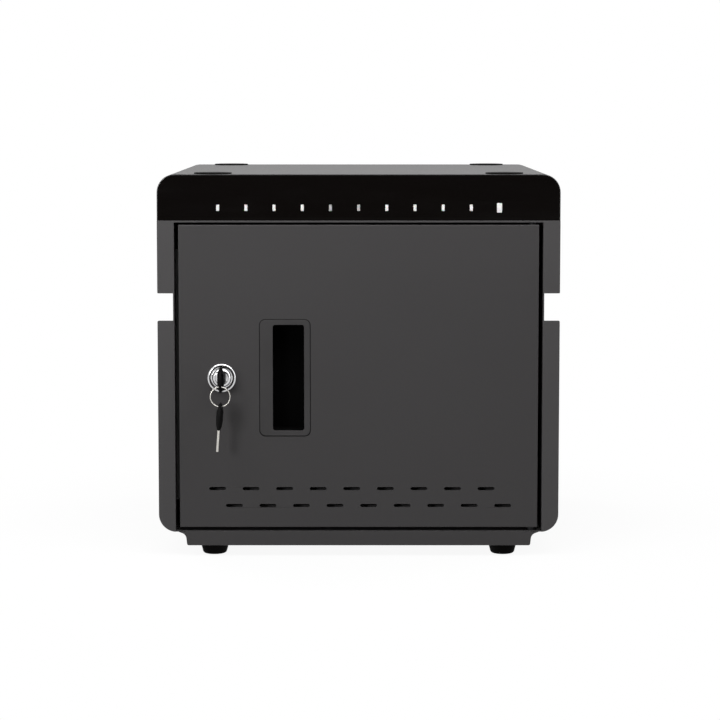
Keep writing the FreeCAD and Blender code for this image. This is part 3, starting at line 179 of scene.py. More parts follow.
class CabinetSizes(bpy.types.PropertyGroup):
    """Small sizes that only the looks need."""
    sheet_round: length_value("Sheet edge", "Rounding of the steel sheets' cut edges", 0.00035)
    tray_round: length_value("Plinth edge", "Rounding of the plinth's edges", 0.0006)
    notch_round: length_value("Notch corner", "Corner radius of the notches in the frame", 0.0015)
    door_round: length_value("Door edge", "Rounding of the door's cut edges", 0.000245)
    moulded_round: length_value("Moulded edge", "Rounding of the plastic pieces' edges", 0.0005)
    fitting_round: length_value("Fitting edge", "Rounding of the rear fittings' edges", 0.0003)
    pad_round: length_value("Pad edge", "Rounding of the stacking pads", 0.0006)
    lens_width: length_value("Window width", "Width of a status window", 0.0027)
    lens_corner: length_value("Window corner", "Corner radius of a light window", 0.0005)
    lens_crown: length_value("Window crown", "Rounding of a window's front edge", 0.0002)
    lens_stand: length_value("Window stand", "How far a window stands out of the strip", 0.0001)
    # depth beyond which the pull's faces are given painted shade
    plate_depth: length_value("Pull plate", "Depth of the pull's plate before its recess", 0.0006)
    # a thin black ring round the pull's plate, no real part: painted shadow in the gap where the plate
    # meets the door
    seam: length_value("Pull seam", "Width of the dark seam round the pull's plate", 0.00055)
    painted_shadow_corner: length_value("Seam corner", "Corner radius of the pull's seam", 0.0058)
    painted_shadow_lift: length_value("Seam lift", "How far the seam's middle stands off the door", 0.00012)
    painted_shadow_thickness: length_value("Seam thickness", "Thickness of the pull's seam", 0.0002)
    bow_thickness: length_value("Key head", "Thickness of a key's head at its middle", 0.0068)
    bow_width: length_value("Head width", "Width of a key's head", 0.0240)
    bow_length: length_value("Head length", "Length of a key's head", 0.0270)
    bow_drop: length_value("Head drop", "How far a head's middle lies below its eye", 0.0085)
    panel_rim: length_value("Panel rim", "Width of the rim round a head's panel", 0.0007)
    panel_step: length_value("Panel step", "Width of the step into a head's panel", 0.0003)
    panel_depth: length_value("Panel depth", "Depth of a head's panel", 0.00035)
    eye_width: length_value("Eye width", "Width of a key's eye", 0.0138)
    eye_height: length_value("Eye height", "Height of a key's eye", 0.0048)
    eye_corner: length_value("Eye corner", "Corner radius of a key's eye", 0.0022)
    blade_thickness: length_value("Blade thickness", "Thickness of a key's blade", 0.0020)
    blade_width: length_value("Blade width", "Width of a key's blade", 0.0076)
    blade_root: length_value("Blade root", "How far a blade starts below the eye", 0.016)
    blade_tip: length_value("Blade tip", "How far a blade ends below the eye", 0.042)
    blade_round: length_value("Blade edge", "Rounding of a blade's edges", 0.00012)
    tip_aside: length_value("Tip aside", "How far a blade's tip lies off its middle", 0.0005)
    groove_edge: length_value("Groove edge", "Width of a blade beside its groove", 0.0016)
    groove_depth: length_value("Groove depth", "Depth of a blade's groove", 0.0003)
    spare_lean: FloatProperty(name="Spare key lean", description="How far the spare key hangs askew",
                              default=math.radians(4), subtype="ANGLE")
    ring_wire: length_value("Ring wire", "Radius of the key ring's wire", 0.00046)
    ring_rise: length_value("Ring rise", "How far the ring's wire climbs in a turn", 0.00094)
    screw_head: length_value("Screw head", "Radius of a rear screw's head", 0.0031)
    screw_inset: length_value("Screw inset", "From the outer side of a rear screw to its middle", 0.003)
    cross_floor: length_value("Cross floor", "Height of the cross recess over a screw's seat", 0.0008)
    port_width: length_value("Port width", "Width of a charging port", 0.0090)
    tongue_edge: length_value("Tongue edge", "Room beside a port's tongue", 0.0012)
    tongue_back: length_value("Tongue set back", "How far a tongue lies behind its port's front", 0.0007)
    tongue_thickness: length_value("Tongue thickness", "Thickness of a port's tongue", 0.00072)
    tongue_round: length_value("Tongue edge rounding", "Rounding of a tongue's front edges", 0.00025)


class CabinetStage(bpy.types.PropertyGroup):
    """Camera, lamps and floor."""
    distance: length_value("Distance", "Camera's distance from the cabinet's face", 2.2)
    height: length_value("Height", "Camera's height above the floor", 0.4297)
    aside: length_value("Aside", "Camera's distance from the middle line", 0.0013)
    tilt: FloatProperty(name="Tilt", description="Camera's tilt below level",
                        default=math.radians(5.208), subtype="ANGLE")
    lens: FloatProperty(name="Lens", description="Focal length", default=117.0, min=1,
                        subtype="DISTANCE_CAMERA")
    shift: FloatProperty(name="Shift", description="Upright shift of the picture", default=-0.06,
                         subtype="FACTOR")
    ambient: FloatProperty(name="Ambient", description="Strength of the light from all round",
                           default=0.26, min=0)
    top_lamp: power_value("Top lamp", "Power of the lamp over the front", 9.6)
    left_lamp: power_value("Left lamp", "Power of the lamp at the front left", 14.0)
    right_lamp: power_value("Right lamp", "Power of the lamp at the right", 5.0)
    rear_lamp: power_value("Rear lamp", "Power of the lamp at the rear left", 24.0)
    side_lamp: power_value("Side lamp", "Power of the lamp at the rear right", 12.0)
    floor: tint_value("Floor", "Pale floor, as it is seen", (0.94, 0.94, 0.94))
    bounce: tint_value("Bounce", "Light that the floor throws back on the cabinet", (0.15, 0.15, 0.15))
    card: tint_value("Card", "Dark card that the bright metal mirrors", (0.012, 0.012, 0.012))


# steps that several pieces share

def leave_edit():
    """Goes back to object mode."""
    if bpy.context.object and bpy.context.object.mode != "OBJECT":
        bpy.ops.object.mode_set(mode="OBJECT")


def fresh():
    """Leaves edit mode and deselects everything."""
    leave_edit()
    bpy.ops.object.select_all(action="DESELECT")


def choose(piece):
    """Selects one piece alone and makes it active."""
    fresh()
    piece.select_set(True)
    bpy.context.view_layer.objects.active = piece


def edit():
    """Opens the active piece with everything selected."""
    bpy.ops.object.mode_set(mode="EDIT")
    bpy.ops.mesh.select_mode(type="VERT")
    bpy.ops.mesh.select_all(action="SELECT")


def keep_place():
    """Puts the active piece's place, turn and scale into its mesh."""
    bpy.ops.object.transform_apply(location=True, rotation=True, scale=True)
    return bpy.context.object


def pick(kind, test):
    """Selects the faces, edges or points that pass a test, in edit mode."""
    bpy.ops.mesh.select_mode(type=kind)
    bpy.ops.mesh.select_all(action="DESELECT")
    data = bpy.context.object.data
    mesh = bmesh.from_edit_mesh(data)
    parts = {"FACE": mesh.faces, "EDGE": mesh.edges, "VERT": mesh.verts}[kind]
    for part in parts:
        part.select_set(bool(test(part)))
    mesh.select_flush_mode()
    bmesh.update_edit_mesh(data)


def runs_along(edge, axis):
    """Whether an edge runs along an axis."""
    line = edge.verts[1].co - edge.verts[0].co
    return abs(line.normalized().dot(axis)) > ALIGNED


def middle_of(edge):
    """An edge's middle."""
    return (edge.verts[0].co + edge.verts[1].co) / 2


def block(low, high):
    """A cube of the given corners, its place in its mesh."""
    fresh()
    low, high = Vector(low), Vector(high)
    bpy.ops.mesh.primitive_cube_add(size=1, location=(low + high) / 2, scale=high - low)
    return keep_place()


def upright_sheet(middle, width, height):
    """A flat sheet that faces the front, its place in its mesh."""
    fresh()
    bpy.ops.mesh.primitive_plane_add(size=1, location=middle, rotation=(QUARTER_TURN, 0, 0))
    piece = keep_place()
    edit()
    bpy.ops.transform.resize(value=(width, 1, height), center_override=middle)
    leave_edit()
    return piece


def apply_modifier(piece, kind, **settings):
    """Adds a modifier, sets it and applies it."""
    modifier = piece.modifiers.new(kind.lower(), kind)
    for name, value in settings.items():
        setattr(modifier, name, value)
    bpy.context.view_layer.objects.active = piece
    bpy.ops.object.modifier_apply(modifier=modifier.name)


def round_over(piece, width, segments=2, angle=40):
    """Rounds a piece's sharp edges."""
    apply_modifier(piece, "BEVEL", width=width, segments=segments, limit_method="ANGLE",
                   angle_limit=math.radians(angle), use_clamp_overlap=False, miter_outer="MITER_ARC")


def smooth(piece, angle=35):
    """Shades a piece smoothly, except over its sharp edges."""
    choose(piece)
    bpy.ops.object.shade_smooth_by_angle(angle=math.radians(angle))


def finished(piece, name, finish, body, slot, *nodes):
    """Names a piece, gives it its finish and lets it ride on its body."""
    leave_edit()
    piece.name = name
    piece.data.name = name
    piece.data.materials.clear()
    piece.data.materials.append(finish_named(finish))
    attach(piece, body)
    if nodes:
        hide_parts(*nodes)
    return piece


def copy_of(piece):
    """A copy with a mesh of its own."""
    choose(piece)
    bpy.ops.object.duplicate(linked=False)
    return bpy.context.object


def in_a_row(first, count, pitch):
    """A piece and its copies, set side by side."""
    pieces = [first] + [copy_of(first) for _ in range(count - 1)]
    for number, piece in enumerate(pieces):
        choose(piece)
        bpy.ops.transform.translate(value=(number * pitch, 0, 0))
        keep_place()
    return pieces


def softened(node, width, segments=2, corners=None, radius=0.0):
    """A merged copy of a CAD node with its sharp edges rounded, and chosen corners rounded more."""
    piece = copy_of(frame["nodes"][node])
    for key in list(piece.keys()):
        del piece[key]
    bpy.ops.mesh.customdata_custom_splitnormals_clear()
    edit()
    bpy.ops.mesh.remove_doubles(threshold=MERGE_GAP)
    bpy.ops.mesh.dissolve_limited(angle_limit=FLAT_ANGLE)
    if corners:
        pick("EDGE", corners)
        bpy.ops.mesh.bevel(offset=radius, segments=5, affect="EDGES")
    leave_edit()
    round_over(piece, width, segments)
    smooth(piece)
    apply_modifier(piece, "WEIGHTED_NORMAL", mode="FACE_AREA", weight=100, keep_sharp=True)
    return piece


def lathe(points, middle, steps=72):
    """Spins a closed outline of (radius, depth) points round the Y line through a middle."""
    fresh()
    places = [Vector((middle.x + radius, depth, middle.z)) for radius, depth in points]
    bpy.ops.mesh.primitive_plane_add(size=MILLIMETRE, location=places[0])
    piece = keep_place()
    edit()
    bpy.ops.mesh.merge(type="CENTER")
    for start, end in zip(places, places[1:] + places[:1]):
        bpy.ops.mesh.extrude_region_move(TRANSFORM_OT_translate={"value": end - start})
    bpy.ops.mesh.select_all(action="SELECT")
    bpy.ops.mesh.remove_doubles(threshold=MERGE_GAP)
    bpy.ops.mesh.spin(steps=steps, angle=WHOLE_TURN, center=(middle.x, 0, middle.z), axis=AXIS_Y)
    bpy.ops.mesh.select_all(action="SELECT")
    bpy.ops.mesh.remove_doubles(threshold=MERGE_GAP)
    bpy.ops.mesh.normals_make_consistent(inside=False)
    leave_edit()
    return piece


def cut_out(piece, tool):
    """Cuts a tool out of a piece and throws the tool away."""
    apply_modifier(piece, "BOOLEAN", object=tool, operation="DIFFERENCE", solver="EXACT")
    bpy.data.objects.remove(tool)


# finishes

def start_finish(name, **sockets):
    """A new material, its shader and the point it shades."""
    material = bpy.data.materials.new(name)
    material.use_nodes = True
    tree = material.node_tree
    shader = tree.nodes["Principled BSDF"]
    for socket, value in sockets.items():
        shader.inputs[socket.replace("_", " ")].default_value = value
    point = tree.nodes.new("ShaderNodeTexCoord").outputs["Object"]
    return material, tree, shader, point


def plug(tree, shader, **sources):
    """Links values to a shader's sockets."""
    for socket, source in sources.items():
        tree.links.new(source, shader.inputs[socket.replace("_", " ")])


def stretched(tree, point, scale):
    """The point with its axes scaled."""
    mapping = tree.nodes.new("ShaderNodeMapping")
    mapping.inputs["Scale"].default_value = scale
    tree.links.new(point, mapping.inputs["Vector"])
    return mapping.outputs["Vector"]


def grain(tree, point, scale, detail=2.0, distortion=0.0):
    """Noise of a given fineness."""
    noise = tree.nodes.new("ShaderNodeTexNoise")
    noise.inputs["Scale"].default_value = scale
    noise.inputs["Detail"].default_value = detail
    noise.inputs["Distortion"].default_value = distortion
    tree.links.new(point, noise.inputs["Vector"])
    return noise.outputs["Fac"]


def ranged(tree, source, source_range, target_range):
    """A value carried from one range to another."""
    node = tree.nodes.new("ShaderNodeMapRange")
    values = (*source_range, *target_range)
    for socket, value in zip(("From Min", "From Max", "To Min", "To Max"), values):
        node.inputs[socket].default_value = value
    tree.links.new(source, node.inputs["Value"])
    return node.outputs["Result"]


def shaded(tree, source, dark, light, low=0.3, high=0.7):
    """A colour between two shades."""
    ramp = tree.nodes.new("ShaderNodeValToRGB")
    ramp.color_ramp.elements[0].position = low
    ramp.color_ramp.elements[1].position = high
    ramp.color_ramp.elements[0].color = (*dark, 1)
    ramp.color_ramp.elements[1].color = (*light, 1)
    tree.links.new(source, ramp.inputs["Fac"])
    return ramp.outputs["Color"]


def blended(tree, factor, first, second):
    """Two colours mixed by a factor."""
    mix = tree.nodes.new("ShaderNodeMix")
    mix.data_type = "RGBA"
    tree.links.new(factor, mix.inputs["Factor"])
    tree.links.new(first, mix.inputs["A"])
    tree.links.new(second, mix.inputs["B"])
    return mix.outputs["Result"]


def raised(tree, source, strength, height):
    """A relief from a value."""
    bump = tree.nodes.new("ShaderNodeBump")
    bump.inputs["Strength"].default_value = strength
    bump.inputs["Distance"].default_value = height
    tree.links.new(source, bump.inputs["Height"])
    return bump.outputs["Normal"]


def times(tint, factor):
    """A colour made lighter or darker."""
    return tuple(min(1.0, part * factor) for part in tint)


def painted(name, tint, roughness=0.42):
    """Satin powder coat: a fine even peel, a trace of cloudiness, a slightly uneven sheen."""
    material, tree, shader, point = start_finish(name, Specular_IOR_Level=0.23)
    peel = grain(tree, point, scale=1300, detail=3)
    cloud = grain(tree, point, scale=7, detail=3)
    fleck = grain(tree, point, scale=3400, detail=1)
    even = shaded(tree, cloud, times(tint, 0.95), times(tint, 1.05))
    specked = shaded(tree, fleck, times(tint, 0.88), times(tint, 1.14))
    plug(tree, shader, Base_Color=blended(tree, cloud, even, specked),
         Roughness=ranged(tree, peel, NOISE_SPAN, (roughness - 0.05, roughness + 0.07)),
         Normal=raised(tree, peel, strength=0.22, height=0.00006))
    return material


def gloss_strip(tint):
    """Gloss black acrylic with a breath of dust and faint wiping marks."""
    material, tree, shader, point = start_finish("strip_gloss", Specular_IOR_Level=0.22)
    wipe = grain(tree, stretched(tree, point, (14, 14, 90)), scale=1, detail=4, distortion=0.6)
    dust = grain(tree, point, scale=2600, detail=1)
    plug(tree, shader,
         Base_Color=shaded(tree, dust, times(tint, 0.9), times(tint, 1.9), low=0.55, high=0.8),
         Roughness=ranged(tree, wipe, (0.3, 0.75), (0.07, 0.15)))
    return material


def milky(name, tint):
    """Diffusing acrylic of a light window."""
    material, tree, shader, point = start_finish(name, Subsurface_Weight=0.15, Subsurface_Scale=0.001,
                                                 Specular_IOR_Level=0.4)
    haze = grain(tree, point, scale=420)
    plug(tree, shader, Base_Color=shaded(tree, haze, times(tint, 0.94), times(tint, 1.03)),
         Roughness=ranged(tree, haze, NOISE_SPAN, (0.24, 0.34)))
    return material


def rubbery(tint):
    """Matt black rubber with a bloom of wear."""
    material, tree, shader, point = start_finish("foot_rubber", Specular_IOR_Level=0.04)
    bloom = grain(tree, point, scale=60, detail=4)
    pores = grain(tree, point, scale=1800)
    plug(tree, shader, Base_Color=shaded(tree, bloom, times(tint, 0.8), times(tint, 1.5)),
         Roughness=ranged(tree, bloom, NOISE_SPAN, (0.62, 0.82)),
         Normal=raised(tree, pores, strength=0.3, height=0.00008))
    return material


def moulded(name, tint, roughness=0.5, relief=0.35, shine=0.28):
    """Moulded plastic with a spark-eroded grain."""
    material, tree, shader, point = start_finish(name, Specular_IOR_Level=shine)
    texture = grain(tree, point, scale=2100)
    flow = grain(tree, point, scale=25)
    plug(tree, shader, Base_Color=shaded(tree, flow, times(tint, 0.9), times(tint, 1.15)),
         Roughness=ranged(tree, texture, NOISE_SPAN, (roughness - 0.06, roughness + 0.08)),
         Normal=raised(tree, texture, strength=relief, height=0.00005))
    return material


def recess_black(tint):
    """Painted shade: dead black inside the pull's recess."""
    material, tree, shader, point = start_finish("recess_black", Specular_IOR_Level=0.05)
    texture = grain(tree, point, scale=1700)
    plug(tree, shader, Base_Color=shaded(tree, texture, times(tint, 0.8), times(tint, 1.3)),
         Roughness=ranged(tree, texture, NOISE_SPAN, (0.8, 0.95)))
    return material


def bright_metal(name, tint, roughness, streak, relief=0.0):
    """Plated or blackened metal with fine polishing streaks."""
    material, tree, shader, point = start_finish(name, Metallic=1.0)
    lines = grain(tree, stretched(tree, point, streak), scale=1, detail=3)
    tarnish = grain(tree, point, scale=180, detail=3)
    plug(tree, shader, Base_Color=shaded(tree, tarnish, times(tint, 0.88), times(tint, 1.06)),
         Roughness=ranged(tree, lines, (0.25, 0.75), (roughness * 0.75, roughness * 1.4)))
    if relief:
        plug(tree, shader, Normal=raised(tree, lines, strength=relief, height=0.00002))
    return material


def spangled(tint):
    """Zinc-plated steel with a soft spangle."""
    material, tree, shader, point = start_finish("zinc_plate", Metallic=1.0)
    cells = tree.nodes.new("ShaderNodeTexVoronoi")
    cells.inputs["Scale"].default_value = 420
    plug(tree, cells, Vector=point)
    cell = cells.outputs["Distance"]
    plug(tree, shader,
         Base_Color=shaded(tree, cell, times(tint, 0.8), times(tint, 1.15), low=0.1, high=0.8),
         Roughness=ranged(tree, cell, (0.0, 0.8), (0.30, 0.44)))
    return material


def circuit(tint, track):
    """Solder mask over rows of tracks."""
    material, tree, shader, point = start_finish("board_mask", Specular_IOR_Level=0.5)
    rows = tree.nodes.new("ShaderNodeTexBrick")
    rows.inputs["Scale"].default_value = 90
    rows.inputs["Mortar Size"].default_value = 0.03
    plug(tree, rows, Vector=stretched(tree, point, (1, 0, 1)))
    body = grain(tree, point, scale=200)
    mask = shaded(tree, body, times(tint, 0.9), times(tint, 1.1))
    lines = shaded(tree, body, times(track, 0.9), times(track, 1.1))
    plug(tree, shader, Base_Color=blended(tree, rows.outputs["Fac"], mask, lines),
         Roughness=ranged(tree, body, NOISE_SPAN, (0.28, 0.40)))
    return material


def waxy(tint):
    """Natural nylon."""
    material, tree, shader, point = start_finish("natural_nylon", Subsurface_Weight=0.2,
                                                 Subsurface_Scale=0.002)
    cloud = grain(tree, point, scale=120, detail=3)
    plug(tree, shader, Base_Color=shaded(tree, cloud, times(tint, 0.92), times(tint, 1.05)),
         Roughness=ranged(tree, cloud, NOISE_SPAN, (0.40, 0.52)))
    return material


def finish_named(name):
    """A finish of the cabinet, made on its first use."""
    if name in bpy.data.materials:
        return bpy.data.materials[name]
    tints = bpy.context.scene.cabinet_finishes
    makers = {
        "case_paint": lambda: painted(name, tints.paint),
        # a lighter copy of the case paint: painted light on the frame
        "frame_paint": lambda: painted(name, tints.frame_paint),
        "strip_gloss": lambda: gloss_strip(tints.strip),
        "window_white": lambda: milky(name, tints.lens),
        # the window finish made darker: painted shade
        "window_dim": lambda: milky(name, tints.dim_lens_painted_shade),
        "foot_rubber": lambda: rubbery(tints.rubber),
        "black_moulding": lambda: moulded(name, tints.moulding),
        "bow_moulding": lambda: moulded(name, tints.bow, roughness=0.55, shine=0.07),
        "rack_moulding": lambda: moulded(name, tints.rack, roughness=0.55),
        "pull_plate": lambda: moulded(name, tints.pull, roughness=0.48, relief=0.2),
        # painted shade inside the pull's recess
        "recess_black": lambda: recess_black(tints.recess),
        "lock_chrome": lambda: bright_metal(name, tints.chrome, 0.10, (300, 2000, 300)),
        "key_nickel": lambda: bright_metal(name, tints.nickel, 0.24, (2500, 300, 300), 0.2),
        "pin_steel": lambda: bright_metal(name, tints.pin, 0.45, (300, 300, 2500)),
        "zinc_plate": lambda: spangled(tints.zinc),
        "board_mask": lambda: circuit(tints.board, tints.track),
        "natural_nylon": lambda: waxy(tints.nylon),
    }
    return makers[name]()


SLOT_FINISH = {
    "painted_steel": "case_paint",
    "pull_plastic": "pull_plate",
    "black_gloss": "strip_gloss",
    "light_lens": "window_white",
    "rubber": "foot_rubber",
    "circuit_board": "board_mask",
    "nylon": "natural_nylon",
    "rack_plastic": "rack_moulding",
    "black_plastic": "black_moulding",
    "zinc_steel": "zinc_plate",
    "chrome": "lock_chrome",
    "nickel": "key_nickel",
}

# nodes whose finish isn't that of their slot
NODE_FINISH = {
    "hinge_pins": "pin_steel",
    "hinge_bushes": "black_moulding",
}


# pieces

class CABINET_OT_solids(bpy.types.Operator):
    """Gives every CAD node its finish"""
    bl_idname = "cabinet.solids"
    bl_label = "Finish the solids"

    def execute(self, context):
        for part in frame["record"]["subparts"]:
            finish = NODE_FINISH.get(part["node"], SLOT_FINISH[part["material_slot"]])
            solid = frame["nodes"][part["node"]]
            solid.data.materials.clear()
            solid.data.materials.append(finish_named(finish))
        return {"FINISHED"}


class CABINET_OT_steelwork(bpy.types.Operator):
    """Rounds the cut edges of the case's outer sheets"""
    bl_idname = "cabinet.steelwork"
    bl_label = "Steelwork"

    def execute(self, context):
        sizes = context.scene.cabinet_sizes
        widths = {
            "upper_cover": sizes.sheet_round,
            "lower_shell": sizes.sheet_round,
            "base_tray": sizes.tray_round,
        }
        for node, width in widths.items():
            finished(softened(node, width), f"{node}_sheet", "case_paint", "cabinet",
                     "painted_steel", node)
        frame_sheet = softened("front_frame", sizes.sheet_round, corners=self.at_notch,
                               radius=sizes.notch_round)
        # the frame takes the lighter copy of the paint: painted light, not a paint of its own
        finished(frame_sheet, "front_frame_sheet", "frame_paint", "cabinet", "painted_steel", "front_frame")
        return {"FINISHED"}

    def at_notch(self, edge):
        """Whether an edge is an outer corner of a carrying groove's notch in the frame."""
        place = middle_of(edge)
        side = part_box("front_frame")[1].x
        heights = (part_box("lower_shell")[1].z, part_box("upper_cover")[0].z)
        return (runs_along(edge, AXIS_Y) and abs(place.x) > side - NEAR
                and min(abs(place.z - height) for height in heights) < NEAR)


class CABINET_OT_light_strip(bpy.types.Operator):
    """Makes the gloss black strip and its eleven light windows"""
    bl_idname = "cabinet.light_strip"
    bl_label = "Light strip"

    def window(self, low, high, sizes):
        """One window: a block with round corners and a crowned front."""
        piece = block((low.x, low.y - sizes.lens_stand, low.z), high)
        edit()
        pick("EDGE", lambda edge: runs_along(edge, AXIS_Y))
        bpy.ops.mesh.bevel(offset=sizes.lens_corner, segments=4, affect="EDGES")
        front = low.y - sizes.lens_stand + NEAR
        pick("EDGE", lambda edge: all(point.co.y < front for point in edge.verts))
        bpy.ops.mesh.bevel(offset=sizes.lens_crown, segments=3, affect="EDGES")
        leave_edit()
        smooth(piece)
        return piece

    def execute(self, context):
        sizes = context.scene.cabinet_sizes
        finished(softened("fascia_panel", sizes.sheet_round), "light_strip", "strip_gloss",
                 "cabinet", "black_gloss", "fascia_panel")
        low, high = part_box("status_lenses")
        pitch = (high.x - low.x - sizes.lens_width) / (LENS_COUNT - 1)
        first = self.window(low, Vector((low.x + sizes.lens_width, high.y, high.z)), sizes)
        for number, piece in enumerate(in_a_row(first, LENS_COUNT, pitch)):
            # the listed windows take the darker copy: painted shade of unlit lights
            finish = "window_dim" if number in PAINTED_DIM_LENSES else "window_white"
            finished(piece, f"status_window_{number + 1:02d}", finish, "cabinet", "light_lens",
                     "status_lenses")
        power = self.window(*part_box("power_lens"), sizes)
        finished(power, "power_window", "window_white", "cabinet", "light_lens", "power_lens")
        return {"FINISHED"}


class CABINET_OT_door(bpy.types.Operator):
    """Rounds the edges of the door's two sheets"""
    bl_idname = "cabinet.door"
    bl_label = "Door"

    def execute(self, context):
        width = context.scene.cabinet_sizes.door_round
        for node in ("door_panel", "door_liner"):
            finished(softened(node, width), f"{node}_sheet", "case_paint", "door", "painted_steel", node)
        return {"FINISHED"}


class CABINET_OT_pull(bpy.types.Operator):
    """Makes the recessed pull, with painted shade in its recess and a dark ring of painted shadow under its
    plate
    """
    bl_idname = "cabinet.pull"
    bl_label = "Pull"

    def execute(self, context):
        sizes = context.scene.cabinet_sizes
        pull = softened("pull_cup", sizes.moulded_round, segments=3)
        finished(pull, "pull", "pull_plate", "door", "pull_plastic", "pull_cup")
        # faces deeper than the plate get the near-black finish: painted shade in the recess
        pull.data.materials.append(finish_named("recess_black"))
        edit()
        pick("FACE", lambda face: face.calc_center_median().y > PULL_LOW.y + sizes.plate_depth)
        pull.active_material_index = 1
        bpy.ops.object.material_slot_assign()
        leave_edit()
        middle = (PULL_LOW + PULL_HIGH) / 2
        span = PULL_HIGH - PULL_LOW
        # a black rubber ring round the plate: painted shadow along its edge
        seam = upright_sheet((middle.x, FACE_Y - sizes.painted_shadow_lift, middle.z), span.x + 2 * sizes.seam,
                             span.z + 2 * sizes.seam)
        edit()
        bpy.ops.mesh.bevel(offset=sizes.painted_shadow_corner, segments=8, affect="VERTICES")
        bpy.ops.mesh.select_all(action="SELECT")
        bpy.ops.mesh.inset(thickness=4 * sizes.seam)
        bpy.ops.mesh.delete(type="FACE")
        leave_edit()
        apply_modifier(seam, "SOLIDIFY", thickness=sizes.painted_shadow_thickness, offset=0)
        finished(seam, "pull_seam", "foot_rubber", "door", "rubber")
        return {"FINISHED"}


class CABINET_OT_lock(bpy.types.Operator):
    """Turns the plated lock: a bright rim, a groove and a crowned face round the plug"""
    bl_idname = "cabinet.lock"
    bl_label = "Lock"

    def execute(self, context):
        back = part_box("lock_body")[1].y
        points = [(radius * MILLIMETRE, FACE_Y + depth * MILLIMETRE) for radius, depth in LOCK_OUTLINE]
        points += [(points[-1][0], back), (points[0][0], back)]
        piece = lathe(points, LOCK_MIDDLE, steps=96)
        smooth(piece, angle=50)
        finished(piece, "lock_bezel", "lock_chrome", "door", "chrome", "lock_body")
        return {"FINISHED"}


class CABINET_OT_keys(bpy.types.Operator):
    """Makes a key with a moulded head and a cut blade, and its copy for the lock"""
    bl_idname = "cabinet.keys"
    bl_label = "Keys"

    def head(self, sizes):
        """A lens-shaped head with two sunk panels and an eye, its eye at the origin."""
        half = sizes.bow_thickness / 2
        fresh()
        bpy.ops.mesh.primitive_uv_sphere_add(
            segments=48, ring_count=32, radius=1, location=(0, 0, -sizes.bow_drop),
            scale=(half, sizes.bow_width / 2, sizes.bow_length / 2))
        piece = keep_place()
        for side in (-1, 1):
            edit()
            bpy.ops.mesh.bisect(plane_co=(side * half * BOW_FLAT, 0, 0), plane_no=(side, 0, 0),
                                use_fill=True, clear_outer=True)
            pick("FACE", lambda face: face.normal.x * side > ALIGNED)
            bpy.ops.mesh.inset(thickness=sizes.panel_rim)
            bpy.ops.mesh.inset(thickness=sizes.panel_step, depth=-sizes.panel_depth)
            leave_edit()
        reach = Vector((sizes.bow_width, sizes.eye_width / 2, sizes.eye_height / 2))
        eye = block(-reach, reach)
        edit()
        pick("EDGE", lambda edge: runs_along(edge, AXIS_X))
        bpy.ops.mesh.bevel(offset=sizes.eye_corner, segments=6, affect="EDGES")
        leave_edit()
        cut_out(piece, eye)
        smooth(piece, angle=30)
        return piece

    def blade(self, sizes):
        """A flat blade with a groove, a row of cuts and a pointed end, below the head."""
        half = Vector((sizes.blade_thickness / 2, sizes.blade_width / 2, 0))
        step = (sizes.blade_tip - sizes.blade_root) / BLADE_STEPS
        piece = block(-half - sizes.blade_tip * AXIS_Z, half - sizes.blade_root * AXIS_Z)
        edit()
        pick("EDGE", lambda edge: runs_along(edge, AXIS_Z))
        bpy.ops.mesh.subdivide(number_cuts=BLADE_STEPS - 1)
        for below, depth in KEY_CUTS.items():
            pick("VERT", lambda point: point.co.y > 0 and abs(point.co.z + below) < step / 2)
            bpy.ops.transform.translate(value=(0, -depth, 0))
        pick("VERT", lambda point: point.co.z < step / 2 - sizes.blade_tip)
        tip = Vector((0, -sizes.tip_aside, -sizes.blade_tip))
        bpy.ops.transform.resize(value=TIP_SCALE, center_override=tip)
        stop = GROOVE_STOP * step - sizes.blade_tip
        for side in (-1, 1):
            pick("FACE", lambda face: (face.normal.x * side > ALIGNED
                                       and face.calc_center_median().z > stop))
            bpy.ops.mesh.inset(thickness=sizes.groove_edge)
            bpy.ops.transform.translate(value=(-side * sizes.groove_depth, 0, 0))
        leave_edit()
        round_over(piece, sizes.blade_round, segments=1, angle=50)
        smooth(piece, angle=30)
        return piece

    def execute(self, context):
        sizes = context.scene.cabinet_sizes
        spare_low, spare_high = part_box("spare_key_bow")
        to_eye = sizes.bow_length / 2 - sizes.bow_drop
        spare_eye = Vector((LOCK_MIDDLE.x, (spare_low.y + spare_high.y) / 2, spare_high.z - to_eye))
        key_eye = Vector((LOCK_MIDDLE.x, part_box("key_bow")[0].y + to_eye, LOCK_MIDDLE.z))
        parts = (("bow", self.head(sizes), "bow_moulding", "black_plastic"),
                 ("blade", self.blade(sizes), "key_nickel", "nickel"))
        for part, piece, finish, slot in parts:
            twin = copy_of(piece)
            twin.rotation_euler = (QUARTER_TURN, 0, 0)
            twin.location = key_eye
            keep_place()
            finished(twin, f"key_{part}_moulded", finish, "key", slot, f"key_{part}")
            choose(piece)
            piece.location = spare_eye
            piece.rotation_euler = (0, sizes.spare_lean, 0)
            keep_place()
            finished(piece, f"spare_key_{part}_moulded", finish, "spare_key", slot, f"spare_key_{part}")
        return {"FINISHED"}


